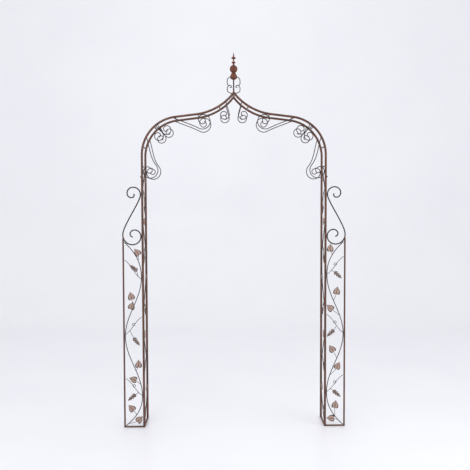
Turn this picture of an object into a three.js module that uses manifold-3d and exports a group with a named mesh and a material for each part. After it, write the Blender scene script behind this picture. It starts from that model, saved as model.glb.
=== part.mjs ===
// Walk-through garden rose arch in powder-coated steel tube and rod.
//
// Two equal ogee frames, one in front and one behind, are held apart by rungs over the
// arch and by a leaf-work panel on each side. The arch halves plug into the four posts and
// are bolted there. A narrow leaf-work wing stands outside each front post and carries a
// large double scroll. Smaller scrolls hang inside both frames, and a finial on a cage of
// four rods stands on the ridge.
//
// Millimetres. +X is to the right, +Y goes from the front frame to the back frame, +Z up.
// The origin is on the ground, half way between the posts and between the frames.

import * as THREE from 'three';
import { mergeVertices } from 'three/addons/utils/BufferGeometryUtils.js';
import Module from 'manifold-3d';

const wasm = await Module();
wasm.setup();

// ---------------------------------------------------------------- driving dimensions

// Frames
const ARCH_SPAN = 1305; // left post to right post, centre lines
const FRAME_DEPTH = 200; // front frame to back frame, centre lines
const POST_HEIGHT = 1885; // ground to the top of the four posts
const LEG_RISE = 70; // straight leg of the arch half above its post
const SHOULDER_RADIUS = 270; // bend that turns the leg inwards
const RAMP_SLOPE = 7; // degrees, the nearly level stretch after the shoulder
const SWEEP_RADIUS = 400; // opposite bend that rises to the ridge
const RIDGE_SLOPE = 52; // degrees, where the two halves meet
const TUBE = 16; // outside diameter of the posts and arch halves
const TUBE_WALL = 1.5;

// Plug-in joint between arch half and post
const PLUG_LENGTH = 110;
const PLUG_CLEARANCE = 0.3; // per side
const BOLT_DROP = 85; // bolt centre below the top of the post
const BOLT_SHANK = 6;
const BOLT_HEAD = 11;
const BOLT_HEAD_HEIGHT = 4;
const BOLT_CLEARANCE = 0.4; // per side

// Rungs and bars between the frames
const RUNG = 10; // diameter
const RUNGS_PER_HALF = 5;
const FIRST_RUNG = 130; // along the arch half from its post
const LAST_RUNG = 137; // along the arch half from the ridge
const PANEL_BAR_DROP = 8; // side panel's top bar, centre below the top of the post
const BASE_BAR_WIDTH = 12;
const BASE_BAR_HEIGHT = 9;

// Wings
const WING_SPREAD = 139; // post to wing post, centre lines
const WING_HEIGHT = 1366; // ground to the top of the wing post
const WING_POST = 12; // diameter
const WING_ROD = 9; // diameter of the large double scroll
const LOWER_TURN_RISE = 19; // centre of the scroll's lower turn above the top of the wing post
const TURN_SPACING = 294; // centres of the scroll's two turns, up and down
const SCROLL_OVERHANG = 2; // scroll's centre line past the wing post's axis
const LEAFWORK_TOP_DROP = 30; // wing's leaf-work ends this far below the top of the wing post

// Leaf-work
const STEM_ROD = 6;
const STEM_BOW = 2.3; // how full the stem's two end bows are, 1 for a straight line
const TENDRIL_ROD = 4;
const TENDRIL_WAVE = 0.05; // sideways swing, as a share of the tendril's drop
const TENDRIL_RING = 18; // diameter of the small ring on each tendril, centre line
const RING_SHARE = 0.5; // place of the ring along its tendril
const LEAF_LENGTH = 54;
const LEAF_WIDTH = 47;
const LEAF_THICKNESS = 2;
const LEAF_GRIP = 16; // how far a leaf's stalk runs on under the leaf
const BUNCH_LENGTH = 70;
const BUNCH_WIDTH = 31;
const BUNCH_THICKNESS = 10;

// Scrolls inside the arch
const SCROLL_ROD = 6;
const RIDGE_SCROLL_FROM_RIDGE = 140; // along the arch half
const LONG_SCROLL_FROM_RIDGE = 280; // centre of its curl, along the arch half
const LONG_SCROLL_TAIL = 124; // end of its tail, along the arch half past the shoulder scroll
const SHOULDER_SCROLL_TURN = 52; // degrees round the shoulder
const TEAR_SCROLL_TURN = 28.5; // degrees round the shoulder, end of its tail
const TEAR_SCROLL_DROP = 39; // centre of its curl below the top of the post
const HORN_BITE = 1.2; // how far the two horns run into each other where they touch

// Finial
const FINIAL_STEM = 10; // diameter
const STEM_HEIGHT = 100; // clear height from the ridge bar to the bulb
const CAGE_REACH = 46; // cage rod's centre line from the stem's axis
const CAGE_WAIST = 57; // height of the pinch in the cage rods
const CAGE_TUCK = 6; // drop from the cage's top to its upper lobe
const LOBE_ROUNDING = 4; // how far a lobe's ends lie inside the cage's reach
const BULB_WIDEST_SHARE = 0.4; // height of the bulb's widest place, as a share of the bulb
const BULB_LEAN = 0.76; // below 1, the bulb is fuller towards its foot
const BALL = 57; // diameter
const BULB = 54; // diameter
const BULB_HEIGHT = 52;
const NECK = 26; // diameter between bulb and ball
const SPIKE_HEIGHT = 92;
const SPIKE_ROD = 8; // diameter at the foot
const LOWER_KNOP = 28; // diameter
const UPPER_KNOP = 32; // diameter

const WELD_GAP = 0.3; // clearance between neighbouring solids where the real ones are welded

// Facets
const TUBE_SIDES = 8;
const ROD_SIDES = 5;
const THIN_SIDES = 4;
const CURL_STEP = 30; // degrees
const BEND_STEP = 8; // degrees
const STEM_STEPS = 5; // between two turns of the stem
const BALL_STEPS = 7; // rings from the ball's seat to its top
const BALL_SIDES = 14;
const SPIKE_SIDES = 10;
const BUNCH_SIDES = 8;
const BUNCH_ROWS = 5;

// ---------------------------------------------------------------- derived sizes

const rad = THREE.MathUtils.degToRad;
const HALF_SPAN = ARCH_SPAN / 2;
const HALF_DEPTH = FRAME_DEPTH / 2;
const TUBE_BORE = TUBE - 2 * TUBE_WALL;
const SHOULDER_TURN = 90 - RAMP_SLOPE;
const SHOULDER_LENGTH = SHOULDER_RADIUS * rad(SHOULDER_TURN);
const SHOULDER_ACROSS = SHOULDER_RADIUS * (1 - Math.sin(rad(RAMP_SLOPE)));
const SWEEP_ACROSS = SWEEP_RADIUS * (Math.sin(rad(RIDGE_SLOPE)) - Math.sin(rad(RAMP_SLOPE)));
const SWEEP_LENGTH = SWEEP_RADIUS * rad(RIDGE_SLOPE - RAMP_SLOPE);
const RAMP_LENGTH = (HALF_SPAN - SHOULDER_ACROSS - SWEEP_ACROSS) / Math.cos(rad(RAMP_SLOPE));
const ARCH_LENGTH = LEG_RISE + SHOULDER_LENGTH + RAMP_LENGTH + SWEEP_LENGTH;

// ---------------------------------------------------------------- materials

function finish(color, roughness, metalness) {
  return new THREE.MeshStandardMaterial({ color, roughness, metalness });
}

const FRAME_BROWN = () => finish(0x7a5546, 0.45, 0.35);
const SCROLL_BROWN = () => finish(0x6b4c40, 0.5, 0.35);
const LEAF_BROWN = () => finish(0x7d5c4e, 0.5, 0.35);
const FINIAL_RUST = () => finish(0x80503b, 0.5, 0.3);
const BOLT_DARK = () => finish(0x4a3a34, 0.4, 0.7);

// ---------------------------------------------------------------- solids

// A closed solid from any three.js geometry: vertices merged, empty triangles dropped.
function solidOf(geometry) {
  const plain = geometry.clone();
  plain.deleteAttribute('normal');
  plain.deleteAttribute('uv');
  const merged = mergeVertices(plain, 1e-4);
  const corners = merged.index.array;
  const triangles = [];
  for (let i = 0; i < corners.length; i += 3) {
    const [a, b, c] = [corners[i], corners[i + 1], corners[i + 2]];
    if (a !== b && b !== c && c !== a) {
      triangles.push(a, b, c);
    }
  }
  return new wasm.Manifold(new wasm.Mesh({
    numProp: 3,
    vertProperties: new Float32Array(merged.attributes.position.array),
    triVerts: new Uint32Array(triangles),
  }));
}

function geometryOf(solid) {
  const { vertProperties, triVerts } = solid.getMesh();
  const indexed = new THREE.BufferGeometry();
  indexed.setAttribute('position', new THREE.BufferAttribute(vertProperties, 3));
  indexed.setIndex(new THREE.BufferAttribute(triVerts, 1));
  const faceted = indexed.toNonIndexed();
  faceted.computeVertexNormals();
  return faceted;
}

function joined(solids) {
  return solids.reduce((sum, solid) => sum.add(solid));
}

// A path that keeps its sections at its own points, so bends get more than straights.
class PointPath extends THREE.CatmullRomCurve3 {
  getUtoTmapping(u) {
    return u;
  }
}

function ringOutline(diameter, sides) {
  const outline = [];
  for (let i = 0; i < sides; i += 1) {
    const angle = (2 * Math.PI * (i + 0.5)) / sides;
    outline.push(new THREE.Vector2(Math.cos(angle), Math.sin(angle)).multiplyScalar(diameter / 2));
  }
  return outline;
}

// A round rod, or a tube where a bore is given, carried through a list of points.
function rodThrough(points, diameter, sides = ROD_SIDES, bore = 0) {
  const section = new THREE.Shape(ringOutline(diameter, sides));
  if (bore > 0) {
    section.holes.push(new THREE.Path(ringOutline(bore, sides)));
  }
  return solidOf(new THREE.ExtrudeGeometry(section, {
    steps: points.length - 1,
    extrudePath: new PointPath(points, false, 'centripetal'),
    bevelEnabled: false,
  }));
}

// A straight round bar between two points on a line along X, Y or Z.
function straightBar(from, to, diameter, sides = TUBE_SIDES) {
  const along = new THREE.Vector3().subVectors(to, from);
  const bar = new THREE.CylinderGeometry(diameter / 2, diameter / 2, along.length(), sides);
  const turn = new THREE.Quaternion().setFromUnitVectors(
    new THREE.Vector3(0, 1, 0),
    along.clone().normalize(),
  );
  bar.applyQuaternion(turn);
  bar.translate(...new THREE.Vector3().addVectors(from, to).multiplyScalar(0.5).toArray());
  return solidOf(bar);
}

function block(low, high) {
  const size = new THREE.Vector3().subVectors(high, low);
  const box = new THREE.BoxGeometry(size.x, size.y, size.z);
  box.translate(...new THREE.Vector3().addVectors(low, high).multiplyScalar(0.5).toArray());
  return solidOf(box);
}

// A turned solid about the Z axis, from [radius, height] pairs that start and end on it.
function turned(profile, sides) {
  const lathe = new THREE.LatheGeometry(profile.map(([r, z]) => new THREE.Vector2(r, z)), sides);
  lathe.rotateX(Math.PI / 2);
  return solidOf(lathe);
}

const at = (x, y, z) => new THREE.Vector3(x, y, z);

// ---------------------------------------------------------------- the ogee line

// Point, heading and inward direction on the left half of the arch, at a length from its
// post: straight leg, shoulder bend, ramp, then the opposite bend up to the ridge.
function archAt(length) {
  const springing = POST_HEIGHT + LEG_RISE;
  let x = -HALF_SPAN;
  let z = POST_HEIGHT + length;
  let slope = Math.PI / 2;
  if (length > LEG_RISE) {
    const bend = Math.min((length - LEG_RISE) / SHOULDER_RADIUS, rad(SHOULDER_TURN));
    slope = Math.PI / 2 - bend;
    x = -HALF_SPAN + SHOULDER_RADIUS * (1 - Math.cos(bend));
    z = springing + SHOULDER_RADIUS * Math.sin(bend);
  }
  const pastShoulder = length - LEG_RISE - SHOULDER_LENGTH;
  if (pastShoulder > 0) {
    const ramp = Math.min(pastShoulder, RAMP_LENGTH);
    x += ramp * Math.cos(slope);
    z += ramp * Math.sin(slope);
  }
  const pastRamp = pastShoulder - RAMP_LENGTH;
  if (pastRamp > 0) {
    const low = rad(RAMP_SLOPE);
    slope = low + pastRamp / SWEEP_RADIUS;
    x += SWEEP_RADIUS * (Math.sin(slope) - Math.sin(low));
    z += SWEEP_RADIUS * (Math.cos(low) - Math.cos(slope));
  }
  return {
    point: new THREE.Vector2(x, z),
    heading: new THREE.Vector2(Math.cos(slope), Math.sin(slope)),
    inward: new THREE.Vector2(Math.sin(slope), -Math.cos(slope)),
  };
}

const RIDGE_HEIGHT = archAt(ARCH_LENGTH).point.y;

// A point given along and inwards from a place on the arch line.
function besideArch(length, along, inwards) {
  const place = archAt(length);
  return place.point.clone()
    .addScaledVector(place.heading, along)
    .addScaledVector(place.inward, inwards);
}

// Lengths along the arch half at which its tube needs a section.
function archStations(start, end) {
  const stops = [start];
  const bends = [
    [LEG_RISE, SHOULDER_LENGTH, SHOULDER_TURN],
    [LEG_RISE + SHOULDER_LENGTH + RAMP_LENGTH, SWEEP_LENGTH, RIDGE_SLOPE - RAMP_SLOPE],
  ];
  for (const [bendStart, bendLength, turn] of bends) {
    const count = Math.round(turn / BEND_STEP);
    for (let i = 0; i <= count; i += 1) {
      stops.push(bendStart + (bendLength * i) / count);
    }
  }
  stops.push(end);
  return stops.filter((stop, i) => i === 0 || stop - stops[i - 1] > 1);
}

// ---------------------------------------------------------------- curls

// A curl turns from its start angle to its end angle, in degrees. Its radius falls from
// outer to inner by the time it reaches its ring angle, slowly at first where fall is large,
// and stays there.
function curlRadius({ outer, inner, start, ring, fall }, angle) {
  const share = Math.min(1, (angle - start) / (ring - start));
  return outer + (inner - outer) * share ** fall;
}

function curl(centre, shape) {
  const turn = shape.end - shape.start;
  const count = Math.round(Math.abs(turn) / CURL_STEP);
  const points = [];
  for (let i = 0; i <= count; i += 1) {
    const angle = shape.start + (turn * i) / count;
    const radius = curlRadius(shape, angle);
    points.push(new THREE.Vector2(
      centre[0] + radius * Math.cos(rad(angle)),
      centre[1] + radius * Math.sin(rad(angle)),
    ));
  }
  return points;
}

const SCROLL_REST = TUBE / 2 + SCROLL_ROD / 2 + WELD_GAP; // rod lying against a tube
const LONG_CURL = { outer: 58, inner: 21, start: 130, ring: -190, end: -430, fall: 2.2 };
const TEAR_CURL = { outer: 60, inner: 19, start: 130, ring: -190, end: -440, fall: 2.2 };
const HOOK = { outer: 34, inner: 11, start: 15, ring: 400, end: 470, fall: 2.2 };
const HOOK_DEPTH = 71; // centre of a hook's curl below the arch line
const HOOK_BOW = [0.4, 0.45]; // bow point of a hook's neck, as shares of its run and depth

// Long scroll: its tail leaves the arch at tailAt and its outer turn lies on the tube at
// curlAt. side is 1 where the tail comes from the post's side, -1 from the ridge's side.
function longScroll(curlAt, tailAt, shape, side) {
  const depth = SCROLL_REST + curlRadius(shape, -90);
  const curled = curl([0, depth], shape).map((p) => besideArch(curlAt, side * p.x, p.y));
  const tail = besideArch(tailAt, 0, 0);
  const middle = tail.clone().lerp(curled[0], 0.5);
  return [tail, middle, ...curled];
}

// Short scroll that leaves the arch at its foot, drops and curls back below its centre's
// place on the arch.
function hookScroll(hookAt, centre, foot, side) {
  const curled = curl([0, HOOK_DEPTH], HOOK)
    .map((p) => besideArch(hookAt, centre + side * p.x, p.y));
  const run = centre + side * HOOK.outer - foot;
  const start = besideArch(hookAt, foot, 0);
  const bow = besideArch(hookAt, foot + run * HOOK_BOW[0], HOOK_DEPTH * HOOK_BOW[1]);
  return [start, bow, ...curled];
}

// The four kinds, each as one or two lists of points on the left half of the frame.
const SHOULDER_SCROLL_AT = LEG_RISE + SHOULDER_RADIUS * rad(SHOULDER_SCROLL_TURN);
const TEAR_SCROLL_TAIL_AT = LEG_RISE + SHOULDER_RADIUS * rad(TEAR_SCROLL_TURN);
const HORN_HALF_SPACING = HOOK.outer * Math.cos(rad(HOOK.start)) + (SCROLL_ROD - HORN_BITE) / 2;
const HORN_FOOT = 9; // foot of each horn from the pair's middle
const RIDGE_SCROLL_FOOT = 56; // foot of the ridge scroll past its curl's centre

const SCROLLS = {
  ridge_scroll: [
    hookScroll(ARCH_LENGTH - RIDGE_SCROLL_FROM_RIDGE, 0, RIDGE_SCROLL_FOOT, 1),
  ],
  long_scroll: [
    longScroll(
      ARCH_LENGTH - LONG_SCROLL_FROM_RIDGE,
      SHOULDER_SCROLL_AT + LONG_SCROLL_TAIL,
      LONG_CURL,
      1,
    ),
  ],
  shoulder_scroll: [
    hookScroll(SHOULDER_SCROLL_AT, HORN_HALF_SPACING, HORN_FOOT, -1),
    hookScroll(SHOULDER_SCROLL_AT, -HORN_HALF_SPACING, -HORN_FOOT, 1),
  ],
  tear_scroll: [
    longScroll(-TEAR_SCROLL_DROP, TEAR_SCROLL_TAIL_AT, TEAR_CURL, -1),
  ],
};

// ---------------------------------------------------------------- leaf-work

// A flat panel drawn with x across its opening and y up; z is its thickness.
const upright = (p) => at(p.x, p.y, 0);
const headingOf = (degrees) => new THREE.Vector2(Math.cos(rad(degrees)), Math.sin(rad(degrees)));

// Half of a heart-shaped leaf, base at the origin and tip along +X: Bezier control points as
// shares of the length and the half width, round the lobe and then in to the tip.
const LEAF_LOBE = [[-0.22, 0.35], [-0.12, 1.25], [0.3, 1]];
const LEAF_TIP = [[0.6, 0.85], [0.75, 0.3], [1, 0]];
const LEAF_STEPS = 2; // straight stretches in each Bezier

function leafOutline(heading) {
  const half = new THREE.Shape();
  half.moveTo(0, 0);
  for (const stretch of [LEAF_LOBE, LEAF_TIP]) {
    half.bezierCurveTo(...stretch.flatMap(([x, y]) => [x * LEAF_LENGTH, (y * LEAF_WIDTH) / 2]));
  }
  const upper = half.getPoints(LEAF_STEPS);
  const lower = upper.slice(1, -1).reverse().map((p) => new THREE.Vector2(p.x, -p.y));
  const base = new THREE.Vector2();
  return [...upper, ...lower].map((p) => p.rotateAround(base, rad(heading)));
}

function leafPlate(outline, base) {
  const plate = new THREE.ExtrudeGeometry(new THREE.Shape(outline), {
    depth: LEAF_THICKNESS,
    bevelEnabled: false,
  });
  plate.translate(base.x, base.y, -LEAF_THICKNESS / 2);
  return solidOf(plate);
}

// Flattened bunch of berries, lying along a heading.
function bunchSolid(centre, heading) {
  const berries = new THREE.SphereGeometry(0.5, BUNCH_SIDES, BUNCH_ROWS);
  berries.rotateZ(-Math.PI / 2);
  berries.scale(BUNCH_LENGTH, BUNCH_WIDTH, BUNCH_THICKNESS);
  berries.rotateZ(rad(heading));
  berries.translate(centre.x, centre.y, 0);
  return solidOf(berries);
}

// Half of the box round a bunch that lies along a heading.
function bunchReach(heading) {
  const { x, y } = headingOf(heading);
  return new THREE.Vector2(
    Math.hypot(x * BUNCH_LENGTH, y * BUNCH_WIDTH) / 2,
    Math.hypot(y * BUNCH_LENGTH, x * BUNCH_WIDTH) / 2,
  );
}

// Place of a piece that reaches from low to high beside its own origin, at a share (0 to 1)
// of the room it has between from and to.
function within(share, from, to, low, high) {
  return from - low + share * (to - from - high + low);
}

// Leaf-work for an opening of a clear width, from bottom to top. Places are shares of the
// room: across runs from one upright (0) to the other (1), up from bottom (0) to top (1).
function leafwork(width, bottom, top, design) {
  const rodEdge = STEM_ROD / 2 + WELD_GAP;
  const place = (across, up) => new THREE.Vector2(
    within(across, 0, width, -rodEdge, rodEdge),
    within(up, bottom, top, 0, 0),
  );
  const roomFor = (across, up, low, high) => new THREE.Vector2(
    within(across, WELD_GAP, width - WELD_GAP, low.x, high.x),
    within(up, bottom, top, low.y, high.y),
  );

  // The stem bows between corner and upright at both ends, and swings from upright to
  // upright in between.
  const stemAt = (up) => {
    const { turns } = design;
    const last = turns.length - 2;
    const stretch = Math.max(0, turns.findIndex((turn, k) => k > 0 && up >= turn) - 1);
    const share = (turns[stretch] - up) / (turns[stretch] - turns[stretch + 1]);
    let crossed = (1 - Math.cos(Math.PI * share)) / 2;
    if (stretch === 0) {
      crossed = 1 - (1 - share) ** STEM_BOW;
    } else if (stretch === last) {
      crossed = share ** STEM_BOW;
    }
    return place(stretch % 2 === 0 ? 1 - crossed : crossed, up);
  };
  const stemPoints = [];
  for (let i = 0; i + 1 < design.turns.length; i += 1) {
    for (let k = i === 0 ? 0 : 1; k <= STEM_STEPS; k += 1) {
      const up = design.turns[i] + ((design.turns[i + 1] - design.turns[i]) * k) / STEM_STEPS;
      stemPoints.push(upright(stemAt(up)));
    }
  }
  const pieces = [rodThrough(stemPoints, STEM_ROD)];

  const thinRod = (points) => rodThrough(points.map(upright), TENDRIL_ROD, THIN_SIDES);
  const tendrilAt = ([fromAcross, fromUp, toUp], share) => {
    const start = place(fromAcross, fromUp);
    const end = place(1 - fromAcross, toUp);
    const swing = (start.y - end.y) * TENDRIL_WAVE * Math.sin(2 * Math.PI * share);
    return start.lerp(end, share).add(new THREE.Vector2(0, swing));
  };
  const ring = TENDRIL_RING / 2;
  const ringShape = { outer: ring, inner: ring, start: -90, ring: 240, end: 240, fall: 1 };
  for (const tendril of design.tendrils) {
    pieces.push(thinRod([0, 0.25, 0.5, 0.75, 1].map((share) => tendrilAt(tendril, share))));
    const foot = tendrilAt(tendril, RING_SHARE);
    pieces.push(thinRod(curl([foot.x, foot.y + ring], ringShape)));
  }
  for (const [across, up, heading, stalkUp] of design.leaves) {
    const outline = leafOutline(heading);
    const { min, max } = new THREE.Box2().setFromPoints(outline);
    const base = roomFor(across, up, min, max);
    pieces.push(leafPlate(outline, base));
    pieces.push(thinRod([
      base.clone().addScaledVector(headingOf(heading), LEAF_GRIP),
      stemAt(stalkUp),
    ]));
  }
  for (const [across, up, heading, tendril, share] of design.bunches) {
    const reach = bunchReach(heading);
    const centre = roomFor(across, up, reach.clone().negate(), reach);
    pieces.push(bunchSolid(centre, heading));
    pieces.push(thinRod([centre, tendrilAt(design.tendrils[tendril], share)]));
  }
  return joined(pieces);
}

// turns: heights at which the stem reaches one upright, then the other, from the top.
// tendrils: [across at the upper end, up there, up at the lower end].
// leaves: [across, up, heading, height at which the stalk leaves the stem].
// bunches: [across, up, heading of its tip, tendril that carries it, share along that].
const LEFT_WING_DESIGN = {
  turns: [1, 0.81, 0.49, 0.165, 0],
  tendrils: [[1, 0.905, 0.8], [0, 0.595, 0.5], [1, 0.26, 0.165]],
  leaves: [
    [0.02, 0.965, 54, 0.9],
    [0.68, 0.72, 76, 0.65],
    [0.71, 0.663, 110, 0.635],
    [0.07, 0.332, 90, 0.3],
    [0.62, 0.242, 19, 0.225],
    [0.73, 0.075, 46, 0.06],
    [0.03, 0.01, 135, 0.01],
  ],
  bunches: [[0.46, 0.876, 38, 0, 0.8], [0.22, 0.459, 232, 1, 0.72], [0.76, 0.141, 320, 2, 0.78]],
};
const RIGHT_WING_DESIGN = {
  turns: [1, 0.82, 0.5, 0.18, 0],
  tendrils: [[1, 0.92, 0.823], [0, 0.605, 0.505], [1, 0.273, 0.18]],
  leaves: [
    [0.02, 0.99, 85, 0.93],
    [0.65, 0.746, 82, 0.68],
    [0.03, 0.643, 138, 0.6],
    [0.28, 0.41, 125, 0.365],
    [0.72, 0.313, 65, 0.27],
    [0.53, 0.091, 81, 0.045],
    [0.02, 0.015, 178, 0.025],
  ],
  bunches: [[0.8, 0.832, 318, 0, 0.72], [0.03, 0.502, 222, 1, 0.6], [0.72, 0.156, 319, 2, 0.77]],
};
const SIDE_DESIGN = {
  turns: [1, 0.84, 0.62, 0.4, 0.18, 0],
  tendrils: [[0, 0.93, 0.86], [1, 0.72, 0.63], [0, 0.5, 0.41], [1, 0.28, 0.19]],
  leaves: [
    [0.75, 0.97, 60, 0.95],
    [0.1, 0.91, 120, 0.89],
    [0.35, 0.8, 50, 0.78],
    [0.8, 0.7, 75, 0.68],
    [0.9, 0.57, 120, 0.55],
    [0.1, 0.475, 95, 0.46],
    [0.2, 0.345, 60, 0.33],
    [0.9, 0.245, 60, 0.23],
    [0.8, 0.12, 110, 0.11],
    [0.25, 0.04, 130, 0.035],
  ],
  bunches: [
    [0.85, 0.845, 310, 0, 0.6],
    [0.3, 0.645, 230, 1, 0.5],
    [0.75, 0.43, 310, 2, 0.5],
    [0.2, 0.21, 230, 3, 0.5],
  ],
};

// ---------------------------------------------------------------- assembly

const arch = new THREE.Group();

function addPiece(name, solid, material) {
  const mesh = new THREE.Mesh(geometryOf(solid), material);
  mesh.name = name;
  arch.add(mesh);
}

const OVERRUN = 1; // how far a cutting solid runs past what it cuts
const SIDES = [['left', -1], ['right', 1]];
const FRAMES = [['front', -HALF_DEPTH], ['back', HALF_DEPTH]];

// Posts: tubes open at both ends, with a bolt hole through the outer wall only.
function boltSolid(side, y, grow) {
  const outside = HALF_SPAN + TUBE / 2;
  const boltHeight = POST_HEIGHT - BOLT_DROP;
  const shank = straightBar(
    at(side * (HALF_SPAN - grow), y, boltHeight),
    at(side * (outside + BOLT_HEAD_HEIGHT / 2), y, boltHeight),
    BOLT_SHANK + 2 * grow,
  );
  if (grow > 0) {
    return shank;
  }
  const head = straightBar(
    at(side * (outside + WELD_GAP), y, boltHeight),
    at(side * (outside + WELD_GAP + BOLT_HEAD_HEIGHT), y, boltHeight),
    BOLT_HEAD,
    6,
  );
  return shank.add(head);
}

// Upright round bar on a post's axis; what cuts right through a post overruns both its ends.
function postSolid(side, y, diameter, overrun = 0) {
  return straightBar(
    at(side * HALF_SPAN, y, -overrun),
    at(side * HALF_SPAN, y, POST_HEIGHT + overrun),
    diameter,
  );
}

function archTubeSolid(side, y, diameter, bore) {
  const start = bore > 0 ? WELD_GAP : -OVERRUN;
  const points = archStations(start, ARCH_LENGTH + TUBE).map((length) => {
    const { point } = archAt(length);
    return at(-side * point.x, y, point.y);
  });
  const tube = rodThrough(points, diameter, TUBE_SIDES, bore);
  // What lies past the middle plane, where the two halves meet.
  const past = 4 * TUBE;
  const beyond = block(
    at(side > 0 ? -past : -WELD_GAP / 2, y - TUBE, RIDGE_HEIGHT - past),
    at(side > 0 ? WELD_GAP / 2 : past, y + TUBE, RIDGE_HEIGHT + past),
  );
  return tube.subtract(beyond);
}

for (const [sideName, side] of SIDES) {
  for (const [frameName, y] of FRAMES) {
    const boltHole = boltSolid(side, y, BOLT_CLEARANCE);
    addPiece(
      `${sideName}_${frameName}_post`,
      postSolid(side, y, TUBE).subtract(postSolid(side, y, TUBE_BORE, OVERRUN)).subtract(boltHole),
      FRAME_BROWN(),
    );

    // Arch half: a tube whose lower end is closed by the plug that enters the post.
    const plugRadius = TUBE_BORE / 2 - PLUG_CLEARANCE;
    const inTube = TUBE_BORE / 2 + TUBE_WALL / 2;
    const plug = turned([
      [0, POST_HEIGHT - PLUG_LENGTH],
      [plugRadius, POST_HEIGHT - PLUG_LENGTH],
      [plugRadius, POST_HEIGHT + WELD_GAP],
      [inTube, POST_HEIGHT + WELD_GAP],
      [inTube, POST_HEIGHT + TUBE],
      [0, POST_HEIGHT + TUBE],
    ], TUBE_SIDES).translate([side * HALF_SPAN, y, 0]);
    addPiece(
      `${sideName}_${frameName}_arch_tube`,
      archTubeSolid(side, y, TUBE, TUBE_BORE).add(plug).subtract(boltHole),
      FRAME_BROWN(),
    );
    addPiece(`${sideName}_${frameName}_joint_bolt`, boltSolid(side, y, 0), BOLT_DARK());
  }
}

// Rungs over the arch, the panels' top and base bars, and the ridge bar.
const BAR_END = HALF_DEPTH - TUBE / 2 - WELD_GAP;

for (const [sideName, side] of SIDES) {
  for (let i = 0; i < RUNGS_PER_HALF; i += 1) {
    const span = ARCH_LENGTH - LAST_RUNG - FIRST_RUNG;
    const { point } = archAt(FIRST_RUNG + (span * i) / (RUNGS_PER_HALF - 1));
    const x = -side * point.x;
    addPiece(
      `${sideName}_rung_${i + 1}`,
      straightBar(at(x, -BAR_END, point.y), at(x, BAR_END, point.y), RUNG),
      FRAME_BROWN(),
    );
  }
  const x = side * HALF_SPAN;
  const barHeight = POST_HEIGHT - PANEL_BAR_DROP;
  addPiece(
    `${sideName}_side_top_bar`,
    straightBar(at(x, -BAR_END, barHeight), at(x, BAR_END, barHeight), RUNG),
    FRAME_BROWN(),
  );
  addPiece(
    `${sideName}_side_base_bar`,
    block(at(x - BASE_BAR_WIDTH / 2, -BAR_END, 0), at(x + BASE_BAR_WIDTH / 2, BAR_END, BASE_BAR_HEIGHT)),
    FRAME_BROWN(),
  );
}
addPiece(
  'ridge_bar',
  straightBar(at(0, -BAR_END, RIDGE_HEIGHT), at(0, BAR_END, RIDGE_HEIGHT), TUBE),
  FRAME_BROWN(),
);

// Side leaf-work stands in the middle plane of each pair of posts.
const quarterTurnX = new THREE.Matrix4().makeRotationX(Math.PI / 2);

function placed(solid, matrix) {
  const geometry = geometryOf(solid);
  geometry.applyMatrix4(matrix);
  return solidOf(geometry);
}

for (const [sideName, side] of SIDES) {
  const width = FRAME_DEPTH - TUBE;
  const top = POST_HEIGHT - PANEL_BAR_DROP - RUNG / 2 - STEM_ROD / 2 - WELD_GAP;
  const bottom = BASE_BAR_HEIGHT + STEM_ROD / 2 + WELD_GAP;
  const panel = leafwork(width, bottom, top, SIDE_DESIGN);
  const stand = new THREE.Matrix4().makeTranslation(side * HALF_SPAN, -width / 2, 0)
    .multiply(new THREE.Matrix4().makeRotationZ(Math.PI / 2))
    .multiply(quarterTurnX);
  addPiece(`${sideName}_side_leafwork`, placed(panel, stand), LEAF_BROWN());
}

// Wings: post, base bar, leaf-work and the large double scroll, outside each front post.
// The scroll's two turns lie against the post, and its lower turn reaches out to the wing
// post, whose top is coped to it. Its outer radius follows from that reach.
const WING_SCROLL_REST = TUBE / 2 + WING_ROD / 2 + WELD_GAP;
const LOWER_TURN = { inner: 13.5, start: 12, ring: -400, end: -430, fall: 1.3 };
const UPPER_TURN = { outer: 58, inner: 8, start: 200, ring: -190, end: -190, fall: 1.3 };

function wingScroll() {
  const nearShare = curlRadius({ ...LOWER_TURN, outer: 1, inner: 0 }, -180);
  const reach = WING_SPREAD + SCROLL_OVERHANG - WING_SCROLL_REST;
  const outer = (reach - LOWER_TURN.inner * (1 - nearShare)) / (1 + nearShare);
  const lower = { ...LOWER_TURN, outer };
  const lowerCentre = [
    WING_SCROLL_REST + curlRadius(lower, -180),
    WING_HEIGHT + LOWER_TURN_RISE,
  ];
  const upperCentre = [
    WING_SCROLL_REST + curlRadius(UPPER_TURN, 180),
    lowerCentre[1] + TURN_SPACING,
  ];
  return [...curl(upperCentre, UPPER_TURN).reverse(), ...curl(lowerCentre, lower)];
}

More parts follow.
